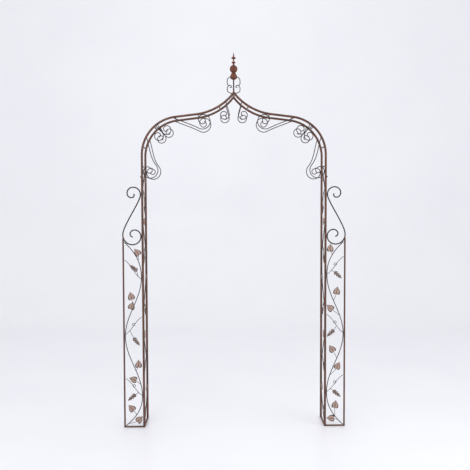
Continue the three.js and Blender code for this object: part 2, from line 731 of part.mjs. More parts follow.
const WING_DESIGNS = { left: LEFT_WING_DESIGN, right: RIGHT_WING_DESIGN };
for (const [sideName, side] of SIDES) {
  const scrollLine = wingScroll().map((p) => at(side * (HALF_SPAN + p.x), -HALF_DEPTH, p.y));
  const scroll = rodThrough(scrollLine, WING_ROD, TUBE_SIDES);
  addPiece(
    `${sideName}_wing_scroll`,
    scroll.subtract(postSolid(side, -HALF_DEPTH, TUBE + 2 * WELD_GAP)),
    SCROLL_BROWN(),
  );

  const wingPostX = side * (HALF_SPAN + WING_SPREAD);
  addPiece(
    `${sideName}_wing_post`,
    straightBar(at(wingPostX, -HALF_DEPTH, 0), at(wingPostX, -HALF_DEPTH, WING_HEIGHT), WING_POST)
      .subtract(rodThrough(scrollLine, WING_ROD + 2 * WELD_GAP, TUBE_SIDES)),
    FRAME_BROWN(),
  );

  const near = side * (HALF_SPAN + TUBE / 2 + WELD_GAP);
  const far = side * (HALF_SPAN + WING_SPREAD - WING_POST / 2 - WELD_GAP);
  addPiece(
    `${sideName}_wing_base_bar`,
    block(
      at(Math.min(near, far), -HALF_DEPTH - BASE_BAR_WIDTH / 2, 0),
      at(Math.max(near, far), -HALF_DEPTH + BASE_BAR_WIDTH / 2, BASE_BAR_HEIGHT),
    ),
    FRAME_BROWN(),
  );

  const panel = leafwork(
    WING_SPREAD - TUBE / 2 - WING_POST / 2,
    BASE_BAR_HEIGHT + STEM_ROD / 2 + WELD_GAP,
    WING_HEIGHT - LEAFWORK_TOP_DROP,
    WING_DESIGNS[sideName],
  );
  const stand = new THREE.Matrix4().makeTranslation(side * (HALF_SPAN + TUBE / 2), -HALF_DEPTH, 0)
    .multiply(new THREE.Matrix4().makeRotationZ(side > 0 ? 0 : Math.PI))
    .multiply(quarterTurnX);
  addPiece(`${sideName}_wing_leafwork`, placed(panel, stand), LEAF_BROWN());
}

// Scrolls in both frames, cut back to the tubes they are welded to.
for (const [sideName, side] of SIDES) {
  for (const [frameName, y] of FRAMES) {
    const grown = TUBE + 2 * WELD_GAP;
    const tubes = archTubeSolid(side, y, grown, 0).add(postSolid(side, y, grown));
    for (const [kind, paths] of Object.entries(SCROLLS)) {
      const rods = paths.map((path) => rodThrough(
        path.map((p) => at(-side * p.x, y, p.y)),
        SCROLL_ROD,
      ));
      addPiece(`${sideName}_${frameName}_${kind}`, joined(rods).subtract(tubes), SCROLL_BROWN());
    }
  }
}

// Finial: stem on the ridge bar, four cage rods, turned bulb and ball, turned spike.
const STEM_FOOT = RIDGE_HEIGHT + TUBE / 2 + WELD_GAP;
const BULB_FOOT = STEM_FOOT + STEM_HEIGHT;
const BULB_WIDEST = BULB_FOOT + BULB_HEIGHT * BULB_WIDEST_SHARE;
const BALL_FOOT = BULB_FOOT + BULB_HEIGHT;
const BALL_SEAT_ANGLE = Math.acos(NECK / BALL); // where the ball's surface meets the neck
const BALL_CENTRE = BALL_FOOT + (BALL / 2) * Math.sin(BALL_SEAT_ANGLE);
const SPIKE_FOOT = BALL_CENTRE + BALL / 2 + WELD_GAP;

addPiece(
  'finial_stem',
  straightBar(at(0, 0, STEM_FOOT), at(0, 0, BULB_FOOT - WELD_GAP), FINIAL_STEM),
  FRAME_BROWN(),
);

// Bulb below: a half wave from its foot out to its widest and in to the neck. Ball above.
function ballProfile() {
  const profile = [[0, BULB_FOOT]];
  for (let share = 0; share <= 1; share += 0.125) {
    const swell = Math.sin(Math.PI * share ** BULB_LEAN);
    const root = share < 0.5 ? FINIAL_STEM : NECK;
    profile.push([
      root / 2 + swell * (BULB - root) / 2,
      BULB_FOOT + BULB_HEIGHT * share,
    ]);
  }
  for (let i = 1; i <= BALL_STEPS; i += 1) {
    const angle = -BALL_SEAT_ANGLE + ((Math.PI / 2 + BALL_SEAT_ANGLE) * i) / BALL_STEPS;
    profile.push([(BALL / 2) * Math.cos(angle), BALL_CENTRE + (BALL / 2) * Math.sin(angle)]);
  }
  profile[profile.length - 1][0] = 0;
  return profile;
}
addPiece('finial_ball', turned(ballProfile(), BALL_SIDES), FINIAL_RUST());

// Spike with two turned knops: [diameter, share of its height].
const SPIKE_PROFILE = [
  [SPIKE_ROD, 0],
  [SPIKE_ROD, 0.11],
  [LOWER_KNOP, 0.17],
  [LOWER_KNOP - 4, 0.23],
  [SPIKE_ROD, 0.29],
  [SPIKE_ROD, 0.43],
  [UPPER_KNOP, 0.52],
  [UPPER_KNOP - 4, 0.59],
  [SPIKE_ROD, 0.67],
  [SPIKE_ROD - 2, 0.83],
  [0, 1],
];
addPiece('finial_spike', turned([
  [0, SPIKE_FOOT],
  ...SPIKE_PROFILE.map(([diameter, share]) => [diameter / 2, SPIKE_FOOT + SPIKE_HEIGHT * share]),
], SPIKE_SIDES), FINIAL_RUST());

// One cage rod in a plane through the stem: a lower lobe, a pinched waist and an upper lobe
// that ends at the bulb's widest place. A short curl turns in from the waist to the stem.
// Places are [out from the axis, up from the foot].
const rodRadius = SCROLL_ROD / 2;
const CAGE_TOP = BULB_WIDEST - STEM_FOOT;
const lobes = (low, high) => [0.2, 0.5, 0.8].map((share) => [
  CAGE_REACH - LOBE_ROUNDING * (2 * share - 1) ** 2,
  low + (high - low) * share,
]);
const CAGE_ROD = [
  [FINIAL_STEM / 2 + rodRadius + WELD_GAP, rodRadius + WELD_GAP],
  [CAGE_REACH * 0.6, CAGE_WAIST * 0.14],
  ...lobes(CAGE_WAIST * 0.2, CAGE_WAIST),
  [CAGE_REACH * 0.82, CAGE_WAIST],
  ...lobes(CAGE_WAIST, CAGE_TOP - CAGE_TUCK),
  [BULB / 2 + rodRadius + WELD_GAP, CAGE_TOP],
];
const WAIST_CURL = [
  [CAGE_REACH * 0.82, CAGE_WAIST],
  [CAGE_REACH * 0.62, CAGE_WAIST + 5],
  [CAGE_REACH * 0.42, CAGE_WAIST + 2],
  [CAGE_REACH * 0.35, CAGE_WAIST - 7],
  [CAGE_REACH * 0.46, CAGE_WAIST - 12],
  [CAGE_REACH * 0.58, CAGE_WAIST - 8],
];
const CAGE_PLACES = [['left', 180], ['front', -90], ['right', 0], ['back', 90]];
for (const [name, angle] of CAGE_PLACES) {
  const out = at(Math.cos(rad(angle)), Math.sin(rad(angle)), 0);
  const rods = [CAGE_ROD, WAIST_CURL].map((path) => rodThrough(
    path.map(([reach, up]) => out.clone().multiplyScalar(reach).setZ(STEM_FOOT + up)),
    SCROLL_ROD,
  ));
  addPiece(`${name}_cage_scroll`, joined(rods), SCROLL_BROWN());
}

export default arch;
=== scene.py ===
# %% [markdown]
# # A metal trellis arch
#
# A garden arch for climbing roses: two bent tube frames, one behind the other, joined by
# rungs. Leafy panels fill its sides, a small wing stands out at each front post, and a
# finial on a cage of curled rods crowns the ridge.
#
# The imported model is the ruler. It is loaded first, and every size below is in millimetres,
# measured the way a smith would, until the last moment when a mesh is written in metres.

import bmesh
import bpy
import numpy as np
from mathutils import Matrix, Vector


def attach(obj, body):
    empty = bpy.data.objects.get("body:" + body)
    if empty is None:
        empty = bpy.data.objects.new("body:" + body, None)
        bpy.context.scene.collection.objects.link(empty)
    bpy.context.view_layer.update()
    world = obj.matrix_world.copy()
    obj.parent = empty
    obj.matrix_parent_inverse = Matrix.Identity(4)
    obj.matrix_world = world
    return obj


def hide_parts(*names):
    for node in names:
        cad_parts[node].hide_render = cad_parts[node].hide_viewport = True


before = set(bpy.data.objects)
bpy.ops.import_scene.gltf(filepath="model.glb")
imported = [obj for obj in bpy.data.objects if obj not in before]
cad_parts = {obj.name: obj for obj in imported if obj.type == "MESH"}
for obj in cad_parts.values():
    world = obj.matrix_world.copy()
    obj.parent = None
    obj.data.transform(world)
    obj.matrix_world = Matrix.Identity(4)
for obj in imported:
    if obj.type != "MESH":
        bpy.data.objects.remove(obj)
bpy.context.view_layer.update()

# %% Sizes of the arch in millimetres
MM = 0.001
HALF_SPAN = 652.5        # post axis from the middle
HALF_DEPTH = 100         # frame plane from the middle
POST_HEIGHT = 1885
LEG_RISE = 70            # straight start of the arch tube
SHOULDER_RADIUS = 270
RAMP_SLOPE = np.radians(7)
SWEEP_RADIUS = 400       # bend that turns the ramp up to the ridge
RIDGE_SLOPE = np.radians(52)
TUBE = 16
RUNG = 10
SCROLL_ROD = 6
STEM_ROD = 6
TENDRIL_ROD = 4
WING_POST = 12
WING_ROD = 9
WING_SPREAD = 139
WING_HEIGHT = 1366
BASE_BAR = (12, 9)
GAP = 0.3                # what a weld bead fills between two solids
PANEL_TOP = POST_HEIGHT - 8          # axis of the bar at the top of a side panel
SHOULDER_BEND = np.pi / 2 - RAMP_SLOPE
SHOULDER_LENGTH = SHOULDER_RADIUS * SHOULDER_BEND
RAMP_LENGTH = (HALF_SPAN - SHOULDER_RADIUS * (1 - np.sin(RAMP_SLOPE))
               - SWEEP_RADIUS * (np.sin(RIDGE_SLOPE) - np.sin(RAMP_SLOPE))) / np.cos(RAMP_SLOPE)
SWEEP_LENGTH = SWEEP_RADIUS * (RIDGE_SLOPE - RAMP_SLOPE)
ARCH_LENGTH = LEG_RISE + SHOULDER_LENGTH + RAMP_LENGTH + SWEEP_LENGTH
print(f"half of the arch line is {ARCH_LENGTH:.0f} mm long")

# %% [markdown]
# ## Camera
#
# The arch is seen almost from the front, from a person's eye height and nearly five metres
# away, so that the back frame shows just inside the front one. A camera is placed by the
# direction it looks in: its right and up directions follow from that, and a matrix made of
# the three holds its whole turn, with no angles to lose track of.

# %% Camera
PITCH, YAW, ROLL = np.radians(2.645), np.radians(0.750), np.radians(-0.16)
forward = np.array([np.sin(YAW) * np.cos(PITCH), np.cos(YAW) * np.cos(PITCH), -np.sin(PITCH)])
level = np.array([np.cos(YAW), -np.sin(YAW), 0])
upward = np.cross(level, forward)
right_hand = np.cos(ROLL) * level + np.sin(ROLL) * upward
overhead = np.cos(ROLL) * upward - np.sin(ROLL) * level
camera = bpy.data.objects.new("camera", bpy.data.cameras.new("camera"))
bpy.context.scene.collection.objects.link(camera)
turn = Matrix(np.array([right_hand, overhead, -forward]).T.tolist()).to_4x4()
camera.matrix_world = Matrix.Translation((-0.055, -4.7318, 1.6)) @ turn
camera.data.sensor_width = 36
camera.data.lens = 49.79
bpy.context.scene.camera = camera
bpy.context.scene.view_settings.view_transform = "Standard"  # keeps dark metal dark on white
print("camera looks along", forward.round(3))

# %% [markdown]
# ## Grids, rings and rods
#
# Nearly everything here is a rod: a ring of points carried along a path. A path that lies in
# one plane makes this easy, because the direction square to the plane never changes, and the
# other direction of each ring is the path's own normal. A bevel on a curve object would do
# the same, but here each ring has its own radius, which gives rounded ends, weld beads and
# open tube ends for nothing.
#
# `skin` puts faces over any grid of points and closes its ends with fans.

# %% Faces over a grid of rings
def skin(rings):
    """Points of a closed shell and its faces, from rings[row, column]. Each face joins
    (row, column), (row, column + 1), (row + 1, column + 1) and (row + 1, column), where the
    columns go round; the first and last ring are closed by a fan to their middle."""
    rows, columns = rings.shape[:2]
    place = np.arange(rows * columns).reshape(rows, columns)
    onward = np.roll(place, -1, axis=1)
    quads = np.stack([place[:-1], onward[:-1], onward[1:], place[1:]], axis=-1).reshape(-1, 4)
    foot, head = rows * columns, rows * columns + 1
    middle = np.full(columns, foot)
    low = np.stack([onward[0], place[0], middle], axis=-1)
    high = np.stack([place[-1], onward[-1], middle + 1], axis=-1)
    points = np.concatenate([rings.reshape(-1, 3), rings[[0, -1]].mean(axis=1)])
    return points, quads, np.concatenate([low, high])


def shell_list(many):
    """The same skin over each member of many[member, row, column]."""
    return [skin(rings) for rings in many]


# %% One mesh object from closed shells
def piece(name, shells, finish, stands_for, relief=None, sharp=38):
    """Joins closed shells in one mesh. Face numbers move up by the points that come before
    them; millimetres turn to metres; every face is turned outwards, and edges that turn by
    more than `sharp` degrees stay crisp."""
    starts = np.cumsum([0] + [len(points) for points, _, _ in shells])
    points = np.concatenate([points for points, _, _ in shells]) * MM
    faces = []
    for start, (_, quads, fans) in zip(starts, shells):
        faces += (quads + start).tolist() + (fans + start).tolist()
    mesh = bpy.data.meshes.new(name)
    mesh.from_pydata(points.tolist(), [], faces)
    tidy = bmesh.new()
    tidy.from_mesh(mesh)
    bmesh.ops.recalc_face_normals(tidy, faces=tidy.faces)
    tidy.to_mesh(mesh)
    tidy.free()
    mesh.polygons.foreach_set("use_smooth", [True] * len(mesh.polygons))
    mesh.set_sharp_from_angle(angle=np.radians(sharp))
    # Painted light and shade: a value on each point, read by the leaf coat.
    if relief is not None:
        layer = mesh.attributes.new("relief", "FLOAT", "POINT")
        layer.data.foreach_set("value", np.concatenate(relief).astype(np.float32))
    mesh.materials.append(finish)
    made = bpy.data.objects.new(name, mesh)
    bpy.context.scene.collection.objects.link(made)
    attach(made, "root")
    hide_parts(*stands_for)
    print(f"{name}: {len(mesh.polygons)} faces")


# %% Rods along a path in a plane
def in_plane(origin, across, up):
    """A plane as its corner and its two directions, and the direction square to both."""
    across, up = np.array(across, float), np.array(up, float)
    return np.array(origin, float), across, up, np.cross(across, up)


def front_plane(y, side=1):
    """A plane parallel to the front: x is measured from the middle, mirrored where side
    is -1, and z upwards."""
    return in_plane((0, y, 0), (side, 0, 0), (0, 0, 1))


def at_length(path, wanted):
    """Points of a drawn path at the wanted distances along it, and the path's direction
    there. Distance is the running sum of the steps between its points."""
    steps = np.linalg.norm(np.diff(path, axis=0), axis=1)
    run = np.concatenate([[0], np.cumsum(steps)])
    point = np.stack([np.interp(wanted, run, path[:, i]) for i in (0, 1)], axis=-1)
    slope = np.gradient(path, run, axis=0)
    slope = np.stack([np.interp(wanted, run, slope[:, i]) for i in (0, 1)], axis=-1)
    return point, slope / np.linalg.norm(slope, axis=1, keepdims=True)


def length_of(path):
    """Sum of the distances between the points of a path."""
    return np.linalg.norm(np.diff(path, axis=0), axis=1).sum()


def rod(path, diameter, plane, sides=14, step=4, ends="round", beads=(0, 0), section=None):
    """A ring carried along a path. Its points are
    path(s) + r(s, a) * (cos a * normal(s) + sin a * square), for distances s along the path
    and angles a round it. r is half the diameter, or section(a). Near an end it narrows to
    the shares below, and a weld bead swells it by
    bead * (1 + 0.14 sin 3a) * exp(-(distance / (1.6 bead))^2)."""
    path = np.asarray(path, float)
    long, half = length_of(path), diameter / 2
    inset = {"round": ([0, 0.1, 0.35, 0.8], [0.35, 0.72, 0.93, 1]),
             "sawn": ([0, 0, 0.08], [0.2, 0.92, 1]),
             "open": ([1.5, 1.5, 0, 0, 0.08], [0.2, 0.8, 0.8, 0.94, 1])}[ends]
    start, share = np.array(inset[0]) * half, np.array(inset[1])
    count = max(2, int(np.ceil((long - 2 * start[-1]) / step)))
    body = np.linspace(start[-1], long - start[-1], count + 1)[1:-1]
    distance = np.concatenate([start, body, long - start[::-1]])
    share = np.concatenate([share, np.ones(len(body)), share[::-1]])
    point, direction = at_length(path, distance)
    angle = np.linspace(0, 2 * np.pi, sides, endpoint=False)
    radius = share[:, None] * (half if section is None else section(angle)[None, :])
    for bead, away in zip(beads, (distance, long - distance)):
        if bead:
            ripple = 1 + 0.14 * np.sin(3 * angle)[None, :]
            radius = radius + bead * ripple * np.exp(-(away / (1.6 * bead)) ** 2)[:, None]
    origin, across, up, square = plane
    centre = origin + point[:, :1] * across + point[:, 1:] * up
    normal = -direction[:, 1:] * across + direction[:, :1] * up
    spoke = (np.cos(angle)[None, :, None] * normal[:, None, :]
             + np.sin(angle)[None, :, None] * square)
    return skin(centre[:, None, :] + radius[:, :, None] * spoke)


# %% [markdown]
# ## Curls and smooth leads
#
# Smiths bend scrolls round a form, so a scroll's radius shrinks steadily as it turns. The
# same law draws every curl here: an angle, a radius that falls with it, and a centre. A
# straight rod runs into a curl without a kink, and a cubic with the right direction at both
# ends does this.

# %% Curl law, lead-in and smooth line
def curl_radius(shape, angle):
    """outer + (inner - outer) * min(1, (angle - start) / (ring - start)) ** fall."""
    outer, inner, start, ring, _, fall = shape
    share = np.minimum(1, (angle - start) / (ring - start))
    return outer + (inner - outer) * share ** fall


def curl(centre, shape):
    """centre + radius(angle) * (cos angle, sin angle), from the start angle to the end."""
    angle = np.linspace(shape[2], shape[4], int(abs(shape[4] - shape[2]) / 3))
    radius, turned = curl_radius(shape, angle), np.radians(angle)
    return np.array(centre) + radius[:, None] * np.stack([np.cos(turned), np.sin(turned)], -1)


def lead(start, start_pull, end, end_pull, count=40):
    """Cubic from start to end: (2t^3 - 3t^2 + 1) start + (t^3 - 2t^2 + t) start_pull
    + (3t^2 - 2t^3) end + (t^3 - t^2) end_pull."""
    t = np.linspace(0, 1, count)[:, None]
    return ((2 * t**3 - 3 * t**2 + 1) * start + (t**3 - 2 * t**2 + t) * start_pull
            + (3 * t**2 - 2 * t**3) * end + (t**3 - t**2) * end_pull)


def heading_at(path, place):
    """Unit direction of a path at its first (0) or last (-1) step."""
    step = path[1] - path[0] if place == 0 else path[-1] - path[-2]
    return step / np.linalg.norm(step)


def smooth_through(points, count=24):
    """Natural cubic spline through points, spaced by their chords. The second slopes m
    solve h0 m0 + 2 (h0 + h1) m1 + h1 m2 = 6 (rise1 / h1 - rise0 / h0)."""
    points = np.array(points, float)
    h = np.linalg.norm(np.diff(points, axis=0), axis=1)
    knots = np.concatenate([[0], np.cumsum(h)])
    size = len(points)
    system, bend = np.eye(size), np.zeros_like(points)
    inner = np.arange(1, size - 1)
    system[inner, inner - 1] = h[:-1]
    system[inner, inner] = 2 * (h[:-1] + h[1:])
    system[inner, inner + 1] = h[1:]
    rise = np.diff(points, axis=0) / h[:, None]
    bend[1:-1] = 6 * np.diff(rise, axis=0)
    m = np.linalg.solve(system, bend)
    t = np.linspace(0, knots[-1], count * (size - 1))
    k = np.clip(np.searchsorted(knots, t, side="right") - 1, 0, size - 2)
    a, b, width = (knots[k + 1] - t)[:, None], (t - knots[k])[:, None], h[k][:, None]
    return ((m[k] * a**3 / 6 + m[k + 1] * b**3 / 6) / width
            + (points[k] / width - m[k] * width / 6) * a
            + (points[k + 1] / width - m[k + 1] * width / 6) * b)


print("a curl of 58 mm closes to", curl_radius((58, 21, 130, -190, -430, 2.2), -190), "mm")

# %% [markdown]
# ## Shader sums
#
# A finish is easier to read as sums than as wires. `Signal` wraps one socket, so that
# `0.4 + 0.2 * cloud` adds two Math nodes, and `node` adds any other node: its settings come
# first, because they decide which sockets it has, then the values or links of its sockets.

# %% A socket that can be added and multiplied
class Signal:
    """One socket of a shader. A sum or product with a number or another Signal adds a Math
    node and gives back its result."""

    def __init__(self, tree, socket=None):
        self.tree, self.socket = tree, socket

    def node(self, kind, settings=None, inputs=None, output=0):
        """Adds a node of this kind: its settings, then its sockets, by name or place."""
        made = self.tree.nodes.new(kind)
        for name, value in (settings or {}).items():
            if name == "stops":
                ramp = made.color_ramp.elements
                for spare in range(len(value) - 2):
                    ramp.new(0.5)
                for stop, (place, colour) in zip(ramp, value):
                    stop.position, stop.color = place, colour
            else:
                setattr(made, name, value)
        for name, value in (inputs or {}).items():
            if isinstance(value, Signal):
                self.tree.links.new(value.socket, made.inputs[name])
            else:
                made.inputs[name].default_value = value
        return Signal(self.tree, made.outputs[output] if made.outputs else None)

    def sum(self, operation, first, second):
        return self.node("ShaderNodeMath", {"operation": operation}, {0: first, 1: second})

    def __add__(self, other):
        return self.sum("ADD", self, other)

    def __sub__(self, other):
        return self.sum("SUBTRACT", self, other)

    def __rsub__(self, other):
        return self.sum("SUBTRACT", other, self)

    def __mul__(self, other):
        return self.sum("MULTIPLY", self, other)

    __radd__, __rmul__ = __add__, __mul__

    def between(self, low, high):
        """0 below low, 1 above high, and a smooth step between them."""
        return self.node("ShaderNodeMapRange", {"interpolation_type": "SMOOTHSTEP"},
                         {"Value": self, "From Min": low, "From Max": high})

    def blend(self, first, second):
        """Colour that goes from the first to the second as this signal goes from 0 to 1."""
        return self.node("ShaderNodeMix", {"data_type": "RGBA"}, {0: self, 6: first, 7: second},
                         output=2)


def noise(place, scale, detail=4, roughness=0.5):
    """Cloudy noise with this many lumps to the metre."""
    return place.node("ShaderNodeTexNoise", {}, {
        "Vector": place, "Scale": scale, "Detail": detail, "Roughness": roughness})


def linear(red, green, blue):
    """A colour as a paint chart gives it, 0 to 255, turned to the light it reflects:
    ((c + 0.055) / 1.055) ** 2.4, or c / 12.92 near black."""
    chart = np.array([red, green, blue]) / 255
    light = np.where(chart > 0.04045, ((chart + 0.055) / 1.055) ** 2.4, chart / 12.92)
    return (*(float(c) for c in light), 1.0)


print("chart brown reflects", [round(c, 3) for c in linear(100, 75, 65)])

# %% [markdown]
# ## Antique brown finish
#
# The arch is steel with a brown powder coat rubbed with rust. Close to, such a coat has three
# scales: patches a hand wide where it was rubbed more, blotches the size of a fingertip, and
# a fine orange-peel grain. Each scale is one noise, and they meet in the colour, the gloss
# and the bump, so that a rustier blotch is also duller and a little raised.
#
# The same recipe serves all five finishes with other colours: the tubes, the forged rods,
# the stamped leaf-work, the redder turned finial and the dark bolts. The leaf-work's coat also
# paints light and shade from a value stored on each point.

# %% The recipe for a rubbed metal coat
def rubbed_coat(name, dark, brown, rust, rust_share, gloss, metal, grain, relief=False):
    """Colour: dark to brown by the blotches, then rust where patch * blotch is high, then a
    pale fleck where the grain peaks; for the leaf coat, painted shade where a value stored on
    each point is high and painted light where it is low. Roughness = gloss + 0.16 * rusted
    + 0.1 * grain."""
    finish = bpy.data.materials.new(name)
    finish.use_nodes = True
    tree = finish.node_tree
    tree.nodes.clear()
    sheet = Signal(tree)
    place = sheet.node("ShaderNodeTexCoord", output=3)
    patch = noise(place, 11, 3)
    blotch = noise(place, 95, 5, 0.6)
    peel = noise(place, 1400, 2)
    pits = noise(place, 420, 3, 0.65)
    colour = blotch.between(0.36, 0.66).blend(linear(*dark), linear(*brown))
    rusted = (patch.between(0.42, 0.62) * blotch.between(0.4, 0.6) * rust_share
              + pits.between(0.62, 0.7) * (0.6 * rust_share))
    colour = rusted.blend(colour, linear(*rust))
    fleck = pits.between(0.3, 0.4)
    colour = (0.35 * (1 - fleck)).blend(colour, linear(*(0.55 * np.array(dark))))
    height = 0.55 * blotch + 0.3 * pits + 0.15 * peel
    # Painted light and shade: the value on each point darkens rims, midribs and berry sides
    # towards a painted shade, and lightens the flat of a leaf and the front of each berry as a
    # painted highlight.
    if relief:
        painted_shade_level = sheet.node("ShaderNodeAttribute", {"attribute_name": "relief"}, output=2)
        colour = (0.8 * painted_shade_level.between(0.5, 0.9)).blend(colour, linear(*(0.5 * np.array(dark))))
        colour = (0.85 - 0.85 * painted_shade_level.between(0.1, 0.45)).blend(
            colour, linear(*(1.75 * np.array(brown))))
    bump = sheet.node("ShaderNodeBump", {}, {
        "Height": height, "Strength": grain, "Distance": 0.0006})
    coat = sheet.node("ShaderNodeBsdfPrincipled", {}, {
        "Base Color": colour, "Roughness": gloss + 0.16 * rusted + 0.1 * peel,
        "Metallic": metal, "Normal": bump})
    sheet.node("ShaderNodeOutputMaterial", {}, {"Surface": coat})
    print(f"{name}: {len(tree.nodes)} nodes")
    return finish


FRAME_COAT = rubbed_coat("frame coat", (66, 38, 28), (104, 68, 52), (126, 72, 48), 0.45,
                         0.3, 0.25, 0.35)
ROD_COAT = rubbed_coat("scroll rod coat", (20, 12, 10), (44, 28, 22), (72, 42, 29), 0.3,
                       0.4, 0.1, 0.5)
LEAF_COAT = rubbed_coat("leaf coat", (60, 44, 38), (106, 90, 82), (104, 74, 60), 0.3,
                        0.4, 0.3, 0.4, relief=True)
FINIAL_COAT = rubbed_coat("finial rust", (80, 40, 27), (122, 68, 47), (140, 70, 42), 0.7,
                          0.46, 0.15, 0.7)
BOLT_COAT = rubbed_coat("bolt coat", (40, 34, 31), (70, 60, 54), (100, 60, 38), 0.4,
                        0.34, 0.6, 0.3)

# %% [markdown]
# ## Floor, backdrop and light
#
# A studio sweep is one sheet: flat floor, a wide bend, then a wall. As a surface it is a line
# in the y-z plane pulled sideways. A large soft box in front and above gives each round tube
# one broad highlight, two at the sides mark its edges, and a bright sky fills the rest.

# %% Studio sweep
def studio_sweep(front=-16, bend_at=3.4, radius=1.6, top=9, half_width=18):
    """Floor from front to bend_at, a quarter turn of the radius, then the wall up to top:
    y = bend_at + radius * sin t and z = radius * (1 - cos t) in the bend."""
    t = np.linspace(0, np.pi / 2, 24)
    y = np.concatenate([np.linspace(front, bend_at, 16)[:-1], bend_at + radius * np.sin(t),
                        np.full(8, bend_at + radius)])
    z = np.concatenate([np.zeros(15), radius * (1 - np.cos(t)), np.linspace(radius, top, 9)[1:]])
    x = np.linspace(-half_width, half_width, 9)
    grid = np.stack([*np.broadcast_arrays(x[None, :], y[:, None], z[:, None])], axis=-1)
    rows, columns = grid.shape[:2]
    place = np.arange(rows * columns).reshape(rows, columns)
    faces = np.stack([place[:-1, :-1], place[:-1, 1:], place[1:, 1:], place[1:, :-1]], axis=-1)
    mesh = bpy.data.meshes.new("studio_sweep")
    mesh.from_pydata(grid.reshape(-1, 3).tolist(), [], faces.reshape(-1, 4).tolist())
    mesh.polygons.foreach_set("use_smooth", [True] * len(mesh.polygons))
    made = bpy.data.objects.new("studio_sweep", mesh)
    bpy.context.scene.collection.objects.link(made)
    return made


paper = bpy.data.materials.new("studio paper")
paper.use_nodes = True
paper.node_tree.nodes.clear()
page = Signal(paper.node_tree)
page_place = page.node("ShaderNodeTexCoord", output=3)
page_cloud = noise(page_place, 1.3, 2)
page_coat = page.node("ShaderNodeBsdfPrincipled", {}, {
    "Base Color": page_cloud.blend(linear(240, 240, 243), linear(246, 246, 248)),
    "Roughness": 0.3 + 0.1 * page_cloud, "IOR": 1.4})
page.node("ShaderNodeOutputMaterial", {}, {"Surface": page_coat})
sweep = studio_sweep()
sweep.data.materials.append(paper)

# %% Soft boxes and sky
def soft_box(name, size, power, place, aim):
    """A square light of that side in metres, turned from its place towards its aim."""
    lamp = bpy.data.lights.new(name, "AREA")
    lamp.size, lamp.energy = size, power
    made = bpy.data.objects.new(name, lamp)
    made.location = place
    made.rotation_euler = (Vector(aim) - Vector(place)).to_track_quat("-Z", "Y").to_euler()
    bpy.context.scene.collection.objects.link(made)


soft_box("front_box", 2.6, 75, (-1.8, -4.6, 3.8), (0, 0, 1.3))
soft_box("side_box", 1.8, 34, (3.4, -2.2, 2.2), (0, 0, 1.2))
soft_box("back_box", 3.0, 8, (0, 2.6, 5.2), (0, 3.5, 0.5))
sky = bpy.data.worlds.new("sky")
bpy.context.scene.world = sky
sky.use_nodes = True
sky.node_tree.nodes["Background"].inputs["Color"].default_value = linear(250, 251, 255)
sky.node_tree.nodes["Background"].inputs["Strength"].default_value = 0.91
print("three soft boxes and a pale sky")

# %% [markdown]
# ## Posts and arch tubes
#
# Each side of each frame is one straight post and one bent tube, joined by a plug inside.
# The line of the bent tube is a short leg, a wide shoulder, a nearly level ramp and a sweep up
# to the ridge. Each stretch takes its share of the distance along the tube, and the shares
# add up, so one formula gives the whole line at once.
#
# The two halves meet at the ridge in a mitre: each point of the last ring slides along the
# tube until it lies on the middle plane.

# %% Line of the arch
def arch_line(length):
    """Places and slopes of the left half, at distances from the post's top:
    x = -652.5 + R (1 - cos bend) + ramp cos 7 + S (sin slope - sin 7),
    z = 1885 + leg + R sin bend + ramp sin 7 + S (cos 7 - cos slope)."""
    length = np.asarray(length, float)
    leg = np.minimum(length, LEG_RISE)
    bend = np.clip((length - LEG_RISE) / SHOULDER_RADIUS, 0, SHOULDER_BEND)
    ramp = np.clip(length - LEG_RISE - SHOULDER_LENGTH, 0, RAMP_LENGTH)
    past = np.maximum(length - LEG_RISE - SHOULDER_LENGTH - RAMP_LENGTH, 0) / SWEEP_RADIUS
    slope = np.pi / 2 - bend + past
    x = (-HALF_SPAN + SHOULDER_RADIUS * (1 - np.cos(bend)) + ramp * np.cos(RAMP_SLOPE)
         + SWEEP_RADIUS * (np.sin(RAMP_SLOPE + past) - np.sin(RAMP_SLOPE)))
    z = (POST_HEIGHT + leg + SHOULDER_RADIUS * np.sin(bend) + ramp * np.sin(RAMP_SLOPE)
         + SWEEP_RADIUS * (np.cos(RAMP_SLOPE) - np.cos(RAMP_SLOPE + past)))
    return np.stack([x, z], axis=-1), slope


def beside_arch(length, places):
    """Places measured along the tube and inwards from its line at one distance."""
    point, slope = arch_line(length)
    along = np.array([np.cos(slope), np.sin(slope)])
    inward = np.array([np.sin(slope), -np.cos(slope)])
    places = np.asarray(places, float)
    return point + places[..., :1] * along + places[..., 1:] * inward


RIDGE_HEIGHT = float(arch_line(ARCH_LENGTH)[0][1])
print(f"ridge axis is {RIDGE_HEIGHT:.0f} mm up")

# %% Posts and arch tubes
TUBE_SIDES = 32
MITRE_ROOM = 12          # rings nearer to the middle plane than this make way for the mitre


def arch_tube(y, mirror):
    """The arch line as a tube. Its last ring slides along the ridge's direction by
    -x / cos(slope), which brings each of its points to x = 0."""
    path = arch_line(np.linspace(GAP, ARCH_LENGTH, 420))[0]
    points = rod(path, TUBE, front_plane(y, mirror), TUBE_SIDES, 6, "sawn")[0]
    body = points[:-2].reshape(-1, TUBE_SIDES, 3)[:-6]
    heading = np.array([np.cos(RIDGE_SLOPE) * mirror, 0, np.sin(RIDGE_SLOPE)])
    body = body[np.abs(body[:, :, 0]).min(axis=1) > MITRE_ROOM]
    final = body[-1] - body[-1][:, :1] / heading[0] * heading
    return skin(np.concatenate([body, final[None]]))


FRAMES = (("front", -HALF_DEPTH), ("back", HALF_DEPTH))
SIDES = (("left", 1), ("right", -1))
for frame_name, y in FRAMES:
    for side_name, mirror in SIDES:
        corner = f"{side_name}_{frame_name}"
        upright = np.array([[-HALF_SPAN, 0], [-HALF_SPAN, POST_HEIGHT]])
        piece(f"{corner}_post_tube",
              [rod(upright, TUBE, front_plane(y, mirror), TUBE_SIDES, 25, "open")],
              FRAME_COAT, [f"{corner}_post"])
        piece(f"{corner}_bent_tube", [arch_tube(y, mirror)],
              FRAME_COAT, [f"{corner}_arch_tube"])

